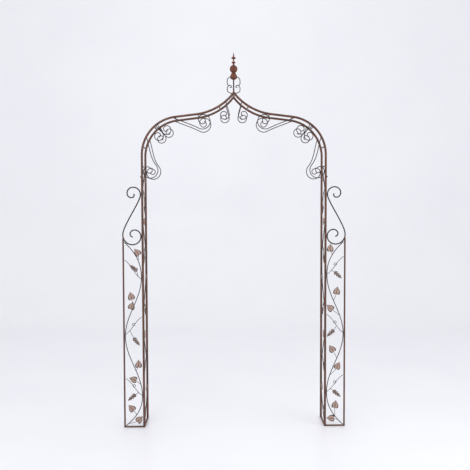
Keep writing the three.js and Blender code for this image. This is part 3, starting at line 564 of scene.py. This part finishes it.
# %% [markdown]
# ## Bars between the two frames
#
# Ten rungs, a bar at the top of each side panel and a heavier bar along the ridge hold the
# two frames apart. They are plain round bar; what shows on a real one is the weld bead at each
# end, so the rod swells and ripples a little where it runs into the tube. At the foot a
# flat bar stands on the ground; its section is a rectangle with rounded corners.

# %% Rungs, top bars, ridge bar and base bars
def cross_bar(place, diameter, bead=1.6, sides=20, section=None, reach=HALF_DEPTH - 5):
    """Straight bar along y at a place (x, z), beaded where it comes out of the tubes."""
    plane = in_plane((place[0], 0, place[1]), (0, 1, 0), (0, 0, 1))
    inner = HALF_DEPTH - TUBE / 2
    run = np.array([[-reach, 0], [reach, 0]])
    shells = [rod(run, diameter, plane, sides, 12, "sawn", section=section)]
    if bead:
        stub = np.linspace(0, 5, 12)
        for end in (-1, 1):
            path = np.stack([end * (inner + 1 - stub), 0 * stub], axis=-1)
            shells.append(rod(path, diameter + 0.2, plane, sides, 0.6, "sawn", (bead, 0)))
    return shells


def flat_bar(width, height, corner=9):
    """Radius of a rounded rectangle at angle a: (|cos a / w|^n + |sin a / h|^n) ^ (-1 / n)."""
    return lambda a: (np.abs(np.cos(a) * 2 / height) ** corner
                      + np.abs(np.sin(a) * 2 / width) ** corner) ** (-1 / corner)


RUNG_AT = np.linspace(130, ARCH_LENGTH - 137, 5)
for side_name, mirror in SIDES:
    for number, place in enumerate(arch_line(RUNG_AT)[0], start=1):
        piece(f"{side_name}_rung_bar_{number}", cross_bar((place[0] * mirror, place[1]), RUNG),
              FRAME_COAT, [f"{side_name}_rung_{number}"])
    piece(f"{side_name}_panel_top_bar",
          cross_bar((-HALF_SPAN * mirror, PANEL_TOP), RUNG),
          FRAME_COAT, [f"{side_name}_side_top_bar"])
    piece(f"{side_name}_panel_base_bar",
          cross_bar((-HALF_SPAN * mirror, BASE_BAR[1] / 2), BASE_BAR[0], 0, 48,
                    flat_bar(*BASE_BAR)),
          FRAME_COAT, [f"{side_name}_side_base_bar"])
piece("ridge_cross_bar", cross_bar((0, RIDGE_HEIGHT), TUBE, 0, TUBE_SIDES),
      FRAME_COAT, ["ridge_bar"])

# %% [markdown]
# ## Wings
#
# At each front post a wing stands out to the side: a thinner post, a flat bar at the foot,
# and one heavy rod above it that curls round over the wing's top, rises, and curls back to
# rest against the post. The upper and the lower curl are drawn first and a cubic joins them.

# %% Wing posts, base bars and double scrolls
WING_REST = TUBE / 2 + WING_ROD / 2 + GAP
LOWER_START, LOWER_RING, LOWER_FALL, LOWER_INNER = 12, -400, 1.3, 13.5
pressed = (-180 - LOWER_START) / (LOWER_RING - LOWER_START)
LOWER_OUTER = ((WING_SPREAD + 2 - WING_REST - LOWER_INNER * pressed ** LOWER_FALL)
               / (2 - pressed ** LOWER_FALL))
LOWER_TURN = (LOWER_OUTER, LOWER_INNER, LOWER_START, LOWER_RING, -430, LOWER_FALL)
UPPER_TURN = (58, 8, 200, -190, -190, 1.3)
lower_centre = (WING_REST + curl_radius(LOWER_TURN, -180), WING_HEIGHT + 19)
upper_centre = (WING_REST + curl_radius(UPPER_TURN, 180), lower_centre[1] + 294)
upper_curl, lower_curl = curl(upper_centre, UPPER_TURN)[::-1], curl(lower_centre, LOWER_TURN)
joint = lead(upper_curl[-1], 190 * heading_at(upper_curl, -1),
             lower_curl[0], 190 * heading_at(lower_curl, 0), 60)
WING_SCROLL = np.concatenate([upper_curl, joint[1:-1], lower_curl])
print(f"a wing scroll takes {length_of(WING_SCROLL):.0f} mm of rod")


def wing_plane(side):
    """Plane of a wing: x outwards from the front post's axis, and z upwards."""
    return in_plane((side * HALF_SPAN, -HALF_DEPTH, 0), (side, 0, 0), (0, 0, 1))


for side_name, mirror in SIDES:
    plane = wing_plane(-mirror)
    piece(f"{side_name}_wing_upright",
          [rod([[WING_SPREAD, 0], [WING_SPREAD, WING_HEIGHT]], WING_POST, plane, 28, 25, "sawn")],
          FRAME_COAT, [f"{side_name}_wing_post"])
    piece(f"{side_name}_wing_foot_bar",
          [rod([[5, BASE_BAR[1] / 2], [WING_SPREAD - 3, BASE_BAR[1] / 2]], BASE_BAR[0], plane, 48,
               12, "sawn", section=flat_bar(*BASE_BAR))],
          FRAME_COAT, [f"{side_name}_wing_base_bar"])
    piece(f"{side_name}_wing_double_scroll", [rod(WING_SCROLL, WING_ROD, plane, 20, 3)],
          ROD_COAT, [f"{side_name}_wing_scroll"])

# %% [markdown]
# ## Scrolls under the arch
#
# Four kinds hang inside each half frame: a hook by the ridge, a long scroll along the ramp,
# a pair of horns at the shoulder and a long tear down the leg. Each is a curl set beside the
# tube and a lead-in that grows out of the tube with the same direction as its curl.

# %% Scroll paths on the left half
REST = TUBE / 2 + SCROLL_ROD / 2 + GAP
HOOK = (34, 11, 15, 400, 470, 2.2)
HOOK_DEPTH = 71
LONG_CURL = (58, 21, 130, -190, -430, 2.2)
TEAR_CURL = (60, 19, 130, -190, -440, 2.2)
SHOULDER_AT = LEG_RISE + SHOULDER_RADIUS * np.radians(52)
HORN_SPACING = HOOK[0] * np.cos(np.radians(HOOK[2])) + (SCROLL_ROD - 1.2) / 2


def long_scroll(curl_at, tail_at, shape, side):
    """Curl lying on the tube at curl_at, led in from the tube's middle at tail_at."""
    curled = curl((0, REST + curl_radius(shape, -90)), shape) * (side, 1)
    curled = beside_arch(curl_at, curled)
    tail = beside_arch(tail_at, np.zeros(2))
    chord = curled[0] - tail
    lead_in = lead(tail, chord, curled[0], np.linalg.norm(chord) * heading_at(curled, 0))
    return np.concatenate([lead_in[:-1], curled])


def hook_scroll(hook_at, centre, foot, side):
    """Curl 71 mm inside the tube, led in from a foot on the tube through a bowed neck."""
    curled = beside_arch(hook_at, curl((0, HOOK_DEPTH), HOOK) * (side, 1) + (centre, 0))
    run = centre + side * HOOK[0] - foot
    start = beside_arch(hook_at, np.array([foot, 0.0]))
    bow = beside_arch(hook_at, np.array([foot + 0.4 * run, 0.45 * HOOK_DEPTH]))
    neck = 1.6 * (bow - start)
    reach = np.linalg.norm(curled[0] - start)
    lead_in = lead(start, neck, curled[0], 0.9 * reach * heading_at(curled, 0))
    return np.concatenate([lead_in[:-1], curled])


SCROLLS = {
    "ridge_scroll": [hook_scroll(ARCH_LENGTH - 140, 0, 56, 1)],
    "long_scroll": [long_scroll(ARCH_LENGTH - 280, SHOULDER_AT + 124, LONG_CURL, 1)],
    "shoulder_scroll": [hook_scroll(SHOULDER_AT, HORN_SPACING, 9, -1),
                        hook_scroll(SHOULDER_AT, -HORN_SPACING, -9, 1)],
    "tear_scroll": [long_scroll(-39, LEG_RISE + SHOULDER_RADIUS * np.radians(28.5),
                                TEAR_CURL, -1)],
}
for frame_name, y in FRAMES:
    for side_name, mirror in SIDES:
        for kind, paths in SCROLLS.items():
            piece(f"{side_name}_{frame_name}_{kind}_rod",
                  [rod(path, SCROLL_ROD, front_plane(y, mirror), 14, 2.5) for path in paths],
                  ROD_COAT, [f"{side_name}_{frame_name}_{kind}"])

# %% [markdown]
# ## Leaf-work
#
# Every panel holds one thin stem that swings from upright to upright, with short tendrils,
# small rings, pressed leaves and bunches of berries. The stem's swing is half a cosine wave
# between two turns, and it bows into the corners at the top and the foot.
#
# A leaf is a pressed sheet, a function of two parameters: u runs round its half outline from
# base to tip, and v from the midrib out to that outline and back underneath. A bunch is a
# few rows of beads that get fewer towards its tip; its beads are coarse on purpose, because
# there are hundreds.

# %% Half outline of a leaf
def bezier(points, t):
    """(1 - t)^3 a + 3 (1 - t)^2 t b + 3 (1 - t) t^2 c + t^3 d."""
    a, b, c, d = (np.array(p, float) for p in points)
    t = t[:, None]
    return (1 - t)**3 * a + 3 * (1 - t)**2 * t * b + 3 * (1 - t) * t**2 * c + t**3 * d


LEAF_LENGTH, LEAF_WIDTH, LEAF_THICKNESS = 54, 47, 2
half_way = np.linspace(0, 1, 16)
LEAF_EDGE = np.concatenate([
    bezier([(0, 0), (-0.22, 0.35), (-0.12, 1.25), (0.3, 1)], half_way),
    bezier([(0.3, 1), (0.6, 0.85), (0.75, 0.3), (1, 0)], half_way)[1:],
]) * (LEAF_LENGTH, LEAF_WIDTH / 2)
print("half outline of a leaf has", len(LEAF_EDGE), "points")


# %% A pressed leaf
def leaf(base, heading, tilt, plane):
    """Points (x, y) = midrib(u) + |v| (edge(u) - midrib(u)), y turned by the sign of v.
    Height = dish (1 - v^2) + midrib ridge exp(-(y / 1.3)^2) + side veins, which are the
    sixth power of the cosine wave of 5.5 u - 1.9 |v|; the underside is the same, lower."""
    u = np.linspace(0, 1, len(LEAF_EDGE))[:, None]
    across = np.linspace(-1, 1, 17)
    v = np.concatenate([across, across[-2:0:-1]])[None, :]
    under = np.concatenate([np.zeros(17), np.ones(15)])[None, :]
    under = under + np.isin(np.arange(32), (0, 16))[None, :] * 0.5
    x = LEAF_LENGTH * 0.98 * u**1.15
    x = x + np.abs(v) * (LEAF_EDGE[:, :1] - x)
    y = v * LEAF_EDGE[:, 1:]
    vein = np.maximum(0, np.cos(2 * np.pi * (5.5 * u - 1.9 * np.abs(v)))) ** 6
    ridge = np.exp(-(y / 1.3) ** 2) * (1 - u)**0.3
    height = 2.2 * (1 - v**2) * np.sin(np.pi * u)**0.5 + 1.0 * ridge + 0.5 * vein * (1 - v**2)
    height = height - 1.6 * (u - 0.5)**2 - LEAF_THICKNESS * 0.7 * under - 1
    rim = np.clip((np.abs(v) - 0.7) / 0.2, 0, 1)
    # Painted shade on the rim, the midrib and the side veins, painted light on the flat of the
    # leaf: the value is high where |v| passes 0.7, on the midrib and on the veins, and low
    # elsewhere.
    relief = np.clip(0.05 + 0.9 * ridge + 0.4 * vein * (1 - v**2) + 0.9 * rim, 0, 1)
    height = height * np.cos(tilt) + y * np.sin(tilt)
    turned = np.radians(heading)
    a = base[0] + x * np.cos(turned) - y * np.sin(turned)
    b = base[1] + x * np.sin(turned) + y * np.cos(turned)
    origin, right, up, square = plane
    rings = origin + a[..., None] * right + b[..., None] * up + height[..., None] * square
    relief = np.concatenate([relief.ravel(), [0.5, 0.5]])
    return skin(rings), relief


# %% A bunch of berries
BUNCH_LENGTH, BUNCH_WIDTH = 70, 31
BEAD_ALONG = np.repeat(np.arange(8), [2, 3, 2, 3, 2, 3, 2, 1]) / 7
BEAD_SIDE = np.array([-0.5, 0.5, -1, 0, 1, -0.5, 0.5, -1, 0, 1, -0.5, 0.5, -0.9, 0, 0.9,
                      -0.4, 0.4, 0])


def bunch(centre, heading, plane):
    """Beads at (along, side * half width) of a cluster whose half width shrinks as
    1 - 0.3 along; each bead is radius * (cos a sin b, sin a sin b, 0.85 cos b), with b from
    pole to pole, and the middle ones stand a little higher."""
    bead = 5.7 - 1.2 * BEAD_ALONG
    x = -BUNCH_LENGTH / 2 + 5 + BEAD_ALONG * (BUNCH_LENGTH - 9)
    y = BEAD_SIDE * (1 - 0.3 * BEAD_ALONG) * (BUNCH_WIDTH / 2 - 3.5)
    lift = 2.0 * (1 - np.abs(BEAD_SIDE))
    a = np.linspace(0, 2 * np.pi, 10, endpoint=False)[None, None, :]
    b = np.linspace(0.25, np.pi - 0.25, 6)[None, :, None]
    ball = np.stack(np.broadcast_arrays(np.cos(a) * np.sin(b), np.sin(a) * np.sin(b),
                                        0.85 * np.cos(b)), axis=-1)
    middle = np.stack([x, y, lift], axis=-1)[:, None, None, :]
    place = ball * bead[:, None, None, None] + middle
    turned = np.radians(heading)
    p = centre[0] + place[..., 0] * np.cos(turned) - place[..., 1] * np.sin(turned)
    q = centre[1] + place[..., 0] * np.sin(turned) + place[..., 1] * np.cos(turned)
    origin, right, up, square = plane
    rings = (origin + p[..., None] * right + q[..., None] * up
             + place[..., 2][..., None] * square)
    shells = shell_list(rings)
    # Painted highlight on the front of each berry and painted shade round its sides: sin(b)^2 is
    # small at the poles and 1 at the equator.
    berry_painted_shade = np.append(np.repeat(np.sin(b[0, :, 0]) ** 2, 10), [0, 0])
    return shells, [berry_painted_shade] * len(shells)


print(len(BEAD_ALONG), "berries to a bunch")

# %% [markdown]
# ## Panels
#
# A panel is laid out in shares of its opening, so one layout fits any width. `leaf_work` turns
# a layout into three lists of shells: rods, leaves and bunches, each made one object, because
# the sheet, the rod and the cast berries are different stock.

# %% Lay out and make one panel
STALK_ROD = 3.4
LEAF_GRIP, BUNCH_GRIP = 14, 20       # how far a stalk runs in under a leaf or a bunch
SPINE_ROD, SPINE_REACH = 6, 26       # rod that carries the berries, and half its length
RING_RADIUS = 9


def leaf_work(name, node, plane, width, bottom, top, design):
    """Stem at height share h between turns i and i + 1: crossed = (1 - cos(pi share)) / 2,
    bowed at both ends as 1 - (1 - share)^2.3 and share^2.3; it runs left to right on even
    stretches and back on odd ones."""
    turns, tendrils, leaves, bunches = design
    turns = np.array(turns, float)
    edge = STEM_ROD / 2 + GAP

    def place(across, up):
        return np.stack([edge + np.asarray(across) * (width - 2 * edge),
                         bottom + np.asarray(up) * (top - bottom)], axis=-1)

    def room_for(across, up, low, high):
        return np.array([GAP - low[0] + across * (width - 2 * GAP - high[0] + low[0]),
                         bottom - low[1] + up * (top - bottom - high[1] + low[1])])

    def stem_at(up):
        up = np.atleast_1d(np.asarray(up, float))
        stretch = np.clip(np.searchsorted(-turns, -up, side="left") - 1, 0, len(turns) - 2)
        share = (turns[stretch] - up) / (turns[stretch] - turns[stretch + 1])
        crossed = (1 - np.cos(np.pi * share)) / 2
        crossed = np.where(stretch == 0, 1 - (1 - share)**2.3, crossed)
        crossed = np.where(stretch == len(turns) - 2, share**2.3, crossed)
        return place(np.where(stretch % 2 == 0, 1 - crossed, crossed), up)

    def tendril_at(tendril, share):
        across, start, end = tendrils[tendril]
        share = np.atleast_1d(np.asarray(share, float))[:, None]
        high, low = place(across, start), place(1 - across, end)
        swing = (high - low)[1] * 0.05 * np.sin(2 * np.pi * share)
        return high + share * (low - high) + swing * np.array([0, 1])

    rods = [rod(stem_at(np.linspace(1, 0, 360)), STEM_ROD, plane, 12, 5)]
    for number in range(len(tendrils)):
        rods.append(rod(tendril_at(number, np.linspace(0, 1, 40)), TENDRIL_ROD, plane, 10, 4))
        foot = tendril_at(number, 0.5)[0]
        ring = curl(foot + (0, RING_RADIUS), (RING_RADIUS, RING_RADIUS, -90, 240, 240, 1))
        rods.append(rod(ring, TENDRIL_ROD, plane, 10, 2))
    sheets, sheet_painted_shading, beads, bead_painted_shading = [], [], [], []
    for number, (across, up, heading, stalk_up) in enumerate(leaves):
        turned = np.radians(heading)
        facing = np.array([np.cos(turned), np.sin(turned)])
        side = np.array([-facing[1], facing[0]])
        outline = np.concatenate([LEAF_EDGE[:, :1] * facing + LEAF_EDGE[:, 1:] * side,
                                  LEAF_EDGE[:, :1] * facing - LEAF_EDGE[:, 1:] * side])
        base = room_for(across, up, outline.min(axis=0), outline.max(axis=0))
        made, relief = leaf(base, heading, 0.12 * (-1)**number, plane)
        sheets.append(made)
        sheet_painted_shading.append(relief)
        root, grip = stem_at(stalk_up)[0], base + LEAF_GRIP * facing
        pull = np.linalg.norm(grip - root)
        stalk = lead(root, 0.6 * (grip - root), grip, pull * facing)
        rods.append(rod(stalk, STALK_ROD, plane, 10, 3))
    for across, up, heading, tendril, share in bunches:
        turned = np.radians(heading)
        reach = np.array([np.hypot(np.cos(turned) * BUNCH_LENGTH, np.sin(turned) * BUNCH_WIDTH),
                          np.hypot(np.sin(turned) * BUNCH_LENGTH, np.cos(turned) * BUNCH_WIDTH)])
        centre = room_for(across, up, -reach / 2, reach / 2)
        shells, relief = bunch(centre, heading, plane)
        beads += shells
        bead_painted_shading += relief
        facing = np.array([np.cos(turned), np.sin(turned)])
        root, grip = tendril_at(tendril, share)[0], centre - BUNCH_GRIP * facing
        pull = np.linalg.norm(grip - root)
        stalk = lead(root, 0.5 * (grip - root), grip, pull * facing)
        rods.append(rod(stalk, STALK_ROD, plane, 10, 3))
        spine = [centre - SPINE_REACH * facing, centre + SPINE_REACH * facing]
        rods.append(rod(spine, SPINE_ROD, plane, 10, 4))
    piece(f"{name}_stem_and_tendrils", rods, ROD_COAT, [node])
    # The leaves and the berries carry their values of painted light and shade.
    piece(f"{name}_leaves", sheets, LEAF_COAT, [node], sheet_painted_shading, 60)
    piece(f"{name}_bunches", beads, LEAF_COAT, [node], bead_painted_shading, 80)


# %% Layouts: turns of the stem, tendrils, leaves, bunches
LEFT_WING = (
    [1, 0.81, 0.49, 0.165, 0],
    [[1, 0.905, 0.8], [0, 0.595, 0.5], [1, 0.26, 0.165]],
    [[0.02, 0.965, 54, 0.9], [0.68, 0.72, 76, 0.65], [0.71, 0.663, 110, 0.635],
     [0.07, 0.332, 90, 0.3], [0.62, 0.242, 19, 0.225], [0.73, 0.075, 46, 0.06],
     [0.03, 0.01, 135, 0.01]],
    [[0.46, 0.876, 38, 0, 0.8], [0.22, 0.459, 232, 1, 0.72], [0.76, 0.141, 320, 2, 0.78]],
)
RIGHT_WING = (
    [1, 0.82, 0.5, 0.18, 0],
    [[1, 0.92, 0.823], [0, 0.605, 0.505], [1, 0.273, 0.18]],
    [[0.02, 0.99, 85, 0.93], [0.65, 0.746, 82, 0.68], [0.03, 0.643, 138, 0.6],
     [0.28, 0.41, 125, 0.365], [0.72, 0.313, 65, 0.27], [0.53, 0.091, 81, 0.045],
     [0.02, 0.015, 178, 0.025]],
    [[0.8, 0.832, 318, 0, 0.72], [0.03, 0.502, 222, 1, 0.6], [0.72, 0.156, 319, 2, 0.77]],
)
SIDE = (
    [1, 0.84, 0.62, 0.4, 0.18, 0],
    [[0, 0.93, 0.86], [1, 0.72, 0.63], [0, 0.5, 0.41], [1, 0.28, 0.19]],
    [[0.75, 0.97, 60, 0.95], [0.1, 0.91, 120, 0.89], [0.35, 0.8, 50, 0.78],
     [0.8, 0.7, 75, 0.68], [0.9, 0.57, 120, 0.55], [0.1, 0.475, 95, 0.46],
     [0.2, 0.345, 60, 0.33], [0.9, 0.245, 60, 0.23], [0.8, 0.12, 110, 0.11],
     [0.25, 0.04, 130, 0.035]],
    [[0.85, 0.845, 310, 0, 0.6], [0.3, 0.645, 230, 1, 0.5], [0.75, 0.43, 310, 2, 0.5],
     [0.2, 0.21, 230, 3, 0.5]],
)
PANEL_FOOT = BASE_BAR[1] + STEM_ROD / 2 + GAP
WING_CROWN = 30          # height of a wing post left free above its panel
print("leaves in a wing:", len(LEFT_WING[2]), "and in a side panel:", len(SIDE[2]))

# %% Make the four panels
for side_name, side, design in (("left", -1, LEFT_WING), ("right", 1, RIGHT_WING)):
    plane = in_plane((side * (HALF_SPAN + TUBE / 2), -HALF_DEPTH, 0), (side, 0, 0), (0, 0, 1))
    front = (*plane[:3], np.array([0.0, -1.0, 0.0]))
    leaf_work(f"{side_name}_wing", f"{side_name}_wing_leafwork", front,
              WING_SPREAD - TUBE / 2 - WING_POST / 2, PANEL_FOOT, WING_HEIGHT - WING_CROWN,
              design)
    panel = in_plane((side * HALF_SPAN, -HALF_DEPTH + TUBE / 2, 0), (0, 1, 0), (0, 0, 1))
    outer = (*panel[:3], np.array([float(side), 0.0, 0.0]))
    leaf_work(f"{side_name}_side", f"{side_name}_side_leafwork", outer,
              2 * HALF_DEPTH - TUBE, PANEL_FOOT, PANEL_TOP - RUNG / 2 - STEM_ROD / 2 - GAP, SIDE)

# %% [markdown]
# ## Finial
#
# A stem stands on the ridge bar inside a cage of four rods, each with a lower and an upper
# lobe and a small curl at its waist. On the stem sit a turned bulb and ball, and a spike with
# two knops. Turned work is a half outline swung round an axis; between the stations a
# half cosine wave makes every widest and narrowest place round, as a turning tool does.

# %% Turned pieces and the cage
def swung(radius, height, sides=48):
    """(r cos a, r sin a, z) for each station (r, z) of a half outline."""
    a = np.linspace(0, 2 * np.pi, sides, endpoint=False)
    return skin(np.stack(np.broadcast_arrays(
        radius[:, None] * np.cos(a), radius[:, None] * np.sin(a), height[:, None]), axis=-1))


def wavy(stations, values, at):
    """Value between two stations: first + (next - first) * (1 - cos(pi share)) / 2."""
    stations, values = np.array(stations, float), np.array(values, float)
    k = np.clip(np.searchsorted(stations, at, side="right") - 1, 0, len(stations) - 2)
    share = np.clip((at - stations[k]) / (stations[k + 1] - stations[k]), 0, 1)
    return values[k] + (values[k + 1] - values[k]) * (1 - np.cos(np.pi * share)) / 2


STEM_FOOT = RIDGE_HEIGHT + TUBE / 2 + GAP
STEM_HEIGHT, BULB_HEIGHT = 100, 52
BULB_FOOT = STEM_FOOT + STEM_HEIGHT
BALL, BULB, NECK, STEM = 57, 54, 26, 10
seat = np.arccos(NECK / BALL)
BALL_FOOT = BULB_FOOT + BULB_HEIGHT
BALL_CENTRE = BALL_FOOT + BALL / 2 * np.sin(seat)
SPIKE_FOOT = BALL_CENTRE + BALL / 2
upright_axis = in_plane((0, 0, 0), (1, 0, 0), (0, 0, 1))
piece("finial_stem_bar", [rod([[0, RIDGE_HEIGHT + 2], [0, BULB_FOOT + 6]], STEM, upright_axis, 24,
                              5, "sawn")], FRAME_COAT, ["finial_stem"])

share = np.linspace(0, 1, 40)
root = wavy([0, 0.5, 1], [STEM, STEM, NECK], share)
bulb_radius = root / 2 + np.sin(np.pi * share**0.76) * (BULB - root) / 2
angle = np.linspace(-seat, np.pi / 2 - 0.03, 48)
seam = 0.5 * np.exp(-(angle / 0.045)**2)
piece("finial_bulb_and_ball", [
    swung(bulb_radius, BULB_FOOT + BULB_HEIGHT * share),
    swung((BALL / 2 - 0.5 + seam) * np.cos(angle), BALL_CENTRE + (BALL / 2) * np.sin(angle)),
    swung(np.array([12.6, 14.2, 14.6, 14.2, 12.6]),
          BALL_FOOT + np.array([-2.4, -1.6, 0, 1.6, 2.4])),
], FINIAL_COAT, ["finial_ball"])

rise = np.linspace(0, 1, 90)
spike_radius = wavy([0, 0.04, 0.1, 0.17, 0.23, 0.3, 0.43, 0.52, 0.59, 0.67, 0.74, 1],
                    [7.5, 7.5, 4, 14, 12.5, 4, 4, 16, 14.5, 4, 4.2, 0.8], rise)
collar = 1.1 * (np.exp(-((rise - 0.36) / 0.012)**2) + np.exp(-((rise - 0.72) / 0.012)**2))
piece("finial_spike_turned", [swung(spike_radius + collar, SPIKE_FOOT - 0.5 + 92.5 * rise)],
      FINIAL_COAT, ["finial_spike"])

# %% Cage rods
BULB_WIDEST = 0.4        # share of the bulb's height
LOBE_ROUNDING = 4
REACH, WAIST, CAGE_TOP = 46, 57, STEM_HEIGHT + BULB_HEIGHT * BULB_WIDEST
lobe = np.array([0.2, 0.5, 0.8])
lobe_out = REACH - LOBE_ROUNDING * (2 * lobe - 1)**2


def cage_lobe(low, high):
    """Three stations of a lobe: out = 46 - 4 (2 share - 1)^2."""
    return np.stack([lobe_out, low + (high - low) * lobe], axis=-1).tolist()


CAGE_ROD = smooth_through([[5, 1], [REACH * 0.6, WAIST * 0.14], *cage_lobe(WAIST * 0.2, WAIST),
                           [REACH * 0.82, WAIST], *cage_lobe(WAIST, CAGE_TOP - 6),
                           [BULB / 2 + 1, CAGE_TOP]])
WAIST_CURL = smooth_through([[REACH * 0.82, WAIST], [REACH * 0.62, WAIST + 5],
                             [REACH * 0.42, WAIST + 2], [REACH * 0.35, WAIST - 7],
                             [REACH * 0.46, WAIST - 12], [REACH * 0.58, WAIST - 8]])
for name, (x, y) in {"left": (-1, 0), "front": (0, -1), "right": (1, 0), "back": (0, 1)}.items():
    plane = in_plane((0, 0, STEM_FOOT), (x, y, 0), (0, 0, 1))
    piece(f"{name}_cage_rod", [rod(CAGE_ROD, SCROLL_ROD, plane, 14, 2),
                               rod(WAIST_CURL, SCROLL_ROD, plane, 14, 2)],
          ROD_COAT, [f"{name}_cage_scroll"])

# %% [markdown]
# ## Bolts
#
# A bolt through each joint keeps the arch on its post. Its head is a hexagon whose corners
# are cut by a cone, on a washer: in each ring the radius is the smaller of the two.

# %% Hexagon heads and washers
BOLT_DROP = 85           # bolt's axis below the top of its post
ACROSS_FLATS = 11


def hexagon(a, flats):
    """Half the width across flats, divided by the cosine of the angle from a flat."""
    return flats / 2 / np.cos((a + np.pi / 6) % (np.pi / 3) - np.pi / 6)


def bolt_head(side, y):
    """Hexagon min(hexagon(a), cone(x)) and a round washer, carried along x."""
    a = np.linspace(0, 2 * np.pi, 48, endpoint=False)[None, :]
    out = HALF_SPAN + TUBE / 2
    height = np.array([-2, 0.6, 0.9, 3.2, 3.6, 4.0, 4.3])[:, None]
    cone = np.array([6.4, 6.4, 6.4, 6.4, 6.05, 5.5, 4.9])[:, None]
    head = np.minimum(hexagon(a, ACROSS_FLATS), cone)
    washer_height = np.array([-3, -0.2, 0.2, 0.7, 0.9])[:, None]
    washer = np.array([6.9, 6.9, 7.1, 7.1, 6.8])[:, None] + 0 * a
    axis_height = POST_HEIGHT - BOLT_DROP
    return [skin(np.stack(np.broadcast_arrays(side * (out + rise), y + r * np.cos(a),
                                              axis_height + r * np.sin(a)), axis=-1))
            for rise, r in ((height, head), (washer_height, washer))]


for frame_name, y in FRAMES:
    for side_name, mirror in SIDES:
        piece(f"{side_name}_{frame_name}_bolt_and_washer", bolt_head(-mirror, y), BOLT_COAT,
              [f"{side_name}_{frame_name}_joint_bolt"], sharp=25)

# %% [markdown]
#
# At the end the view layer is brought up to date.

# %% Bring the view layer up to date
bpy.context.view_layer.update()
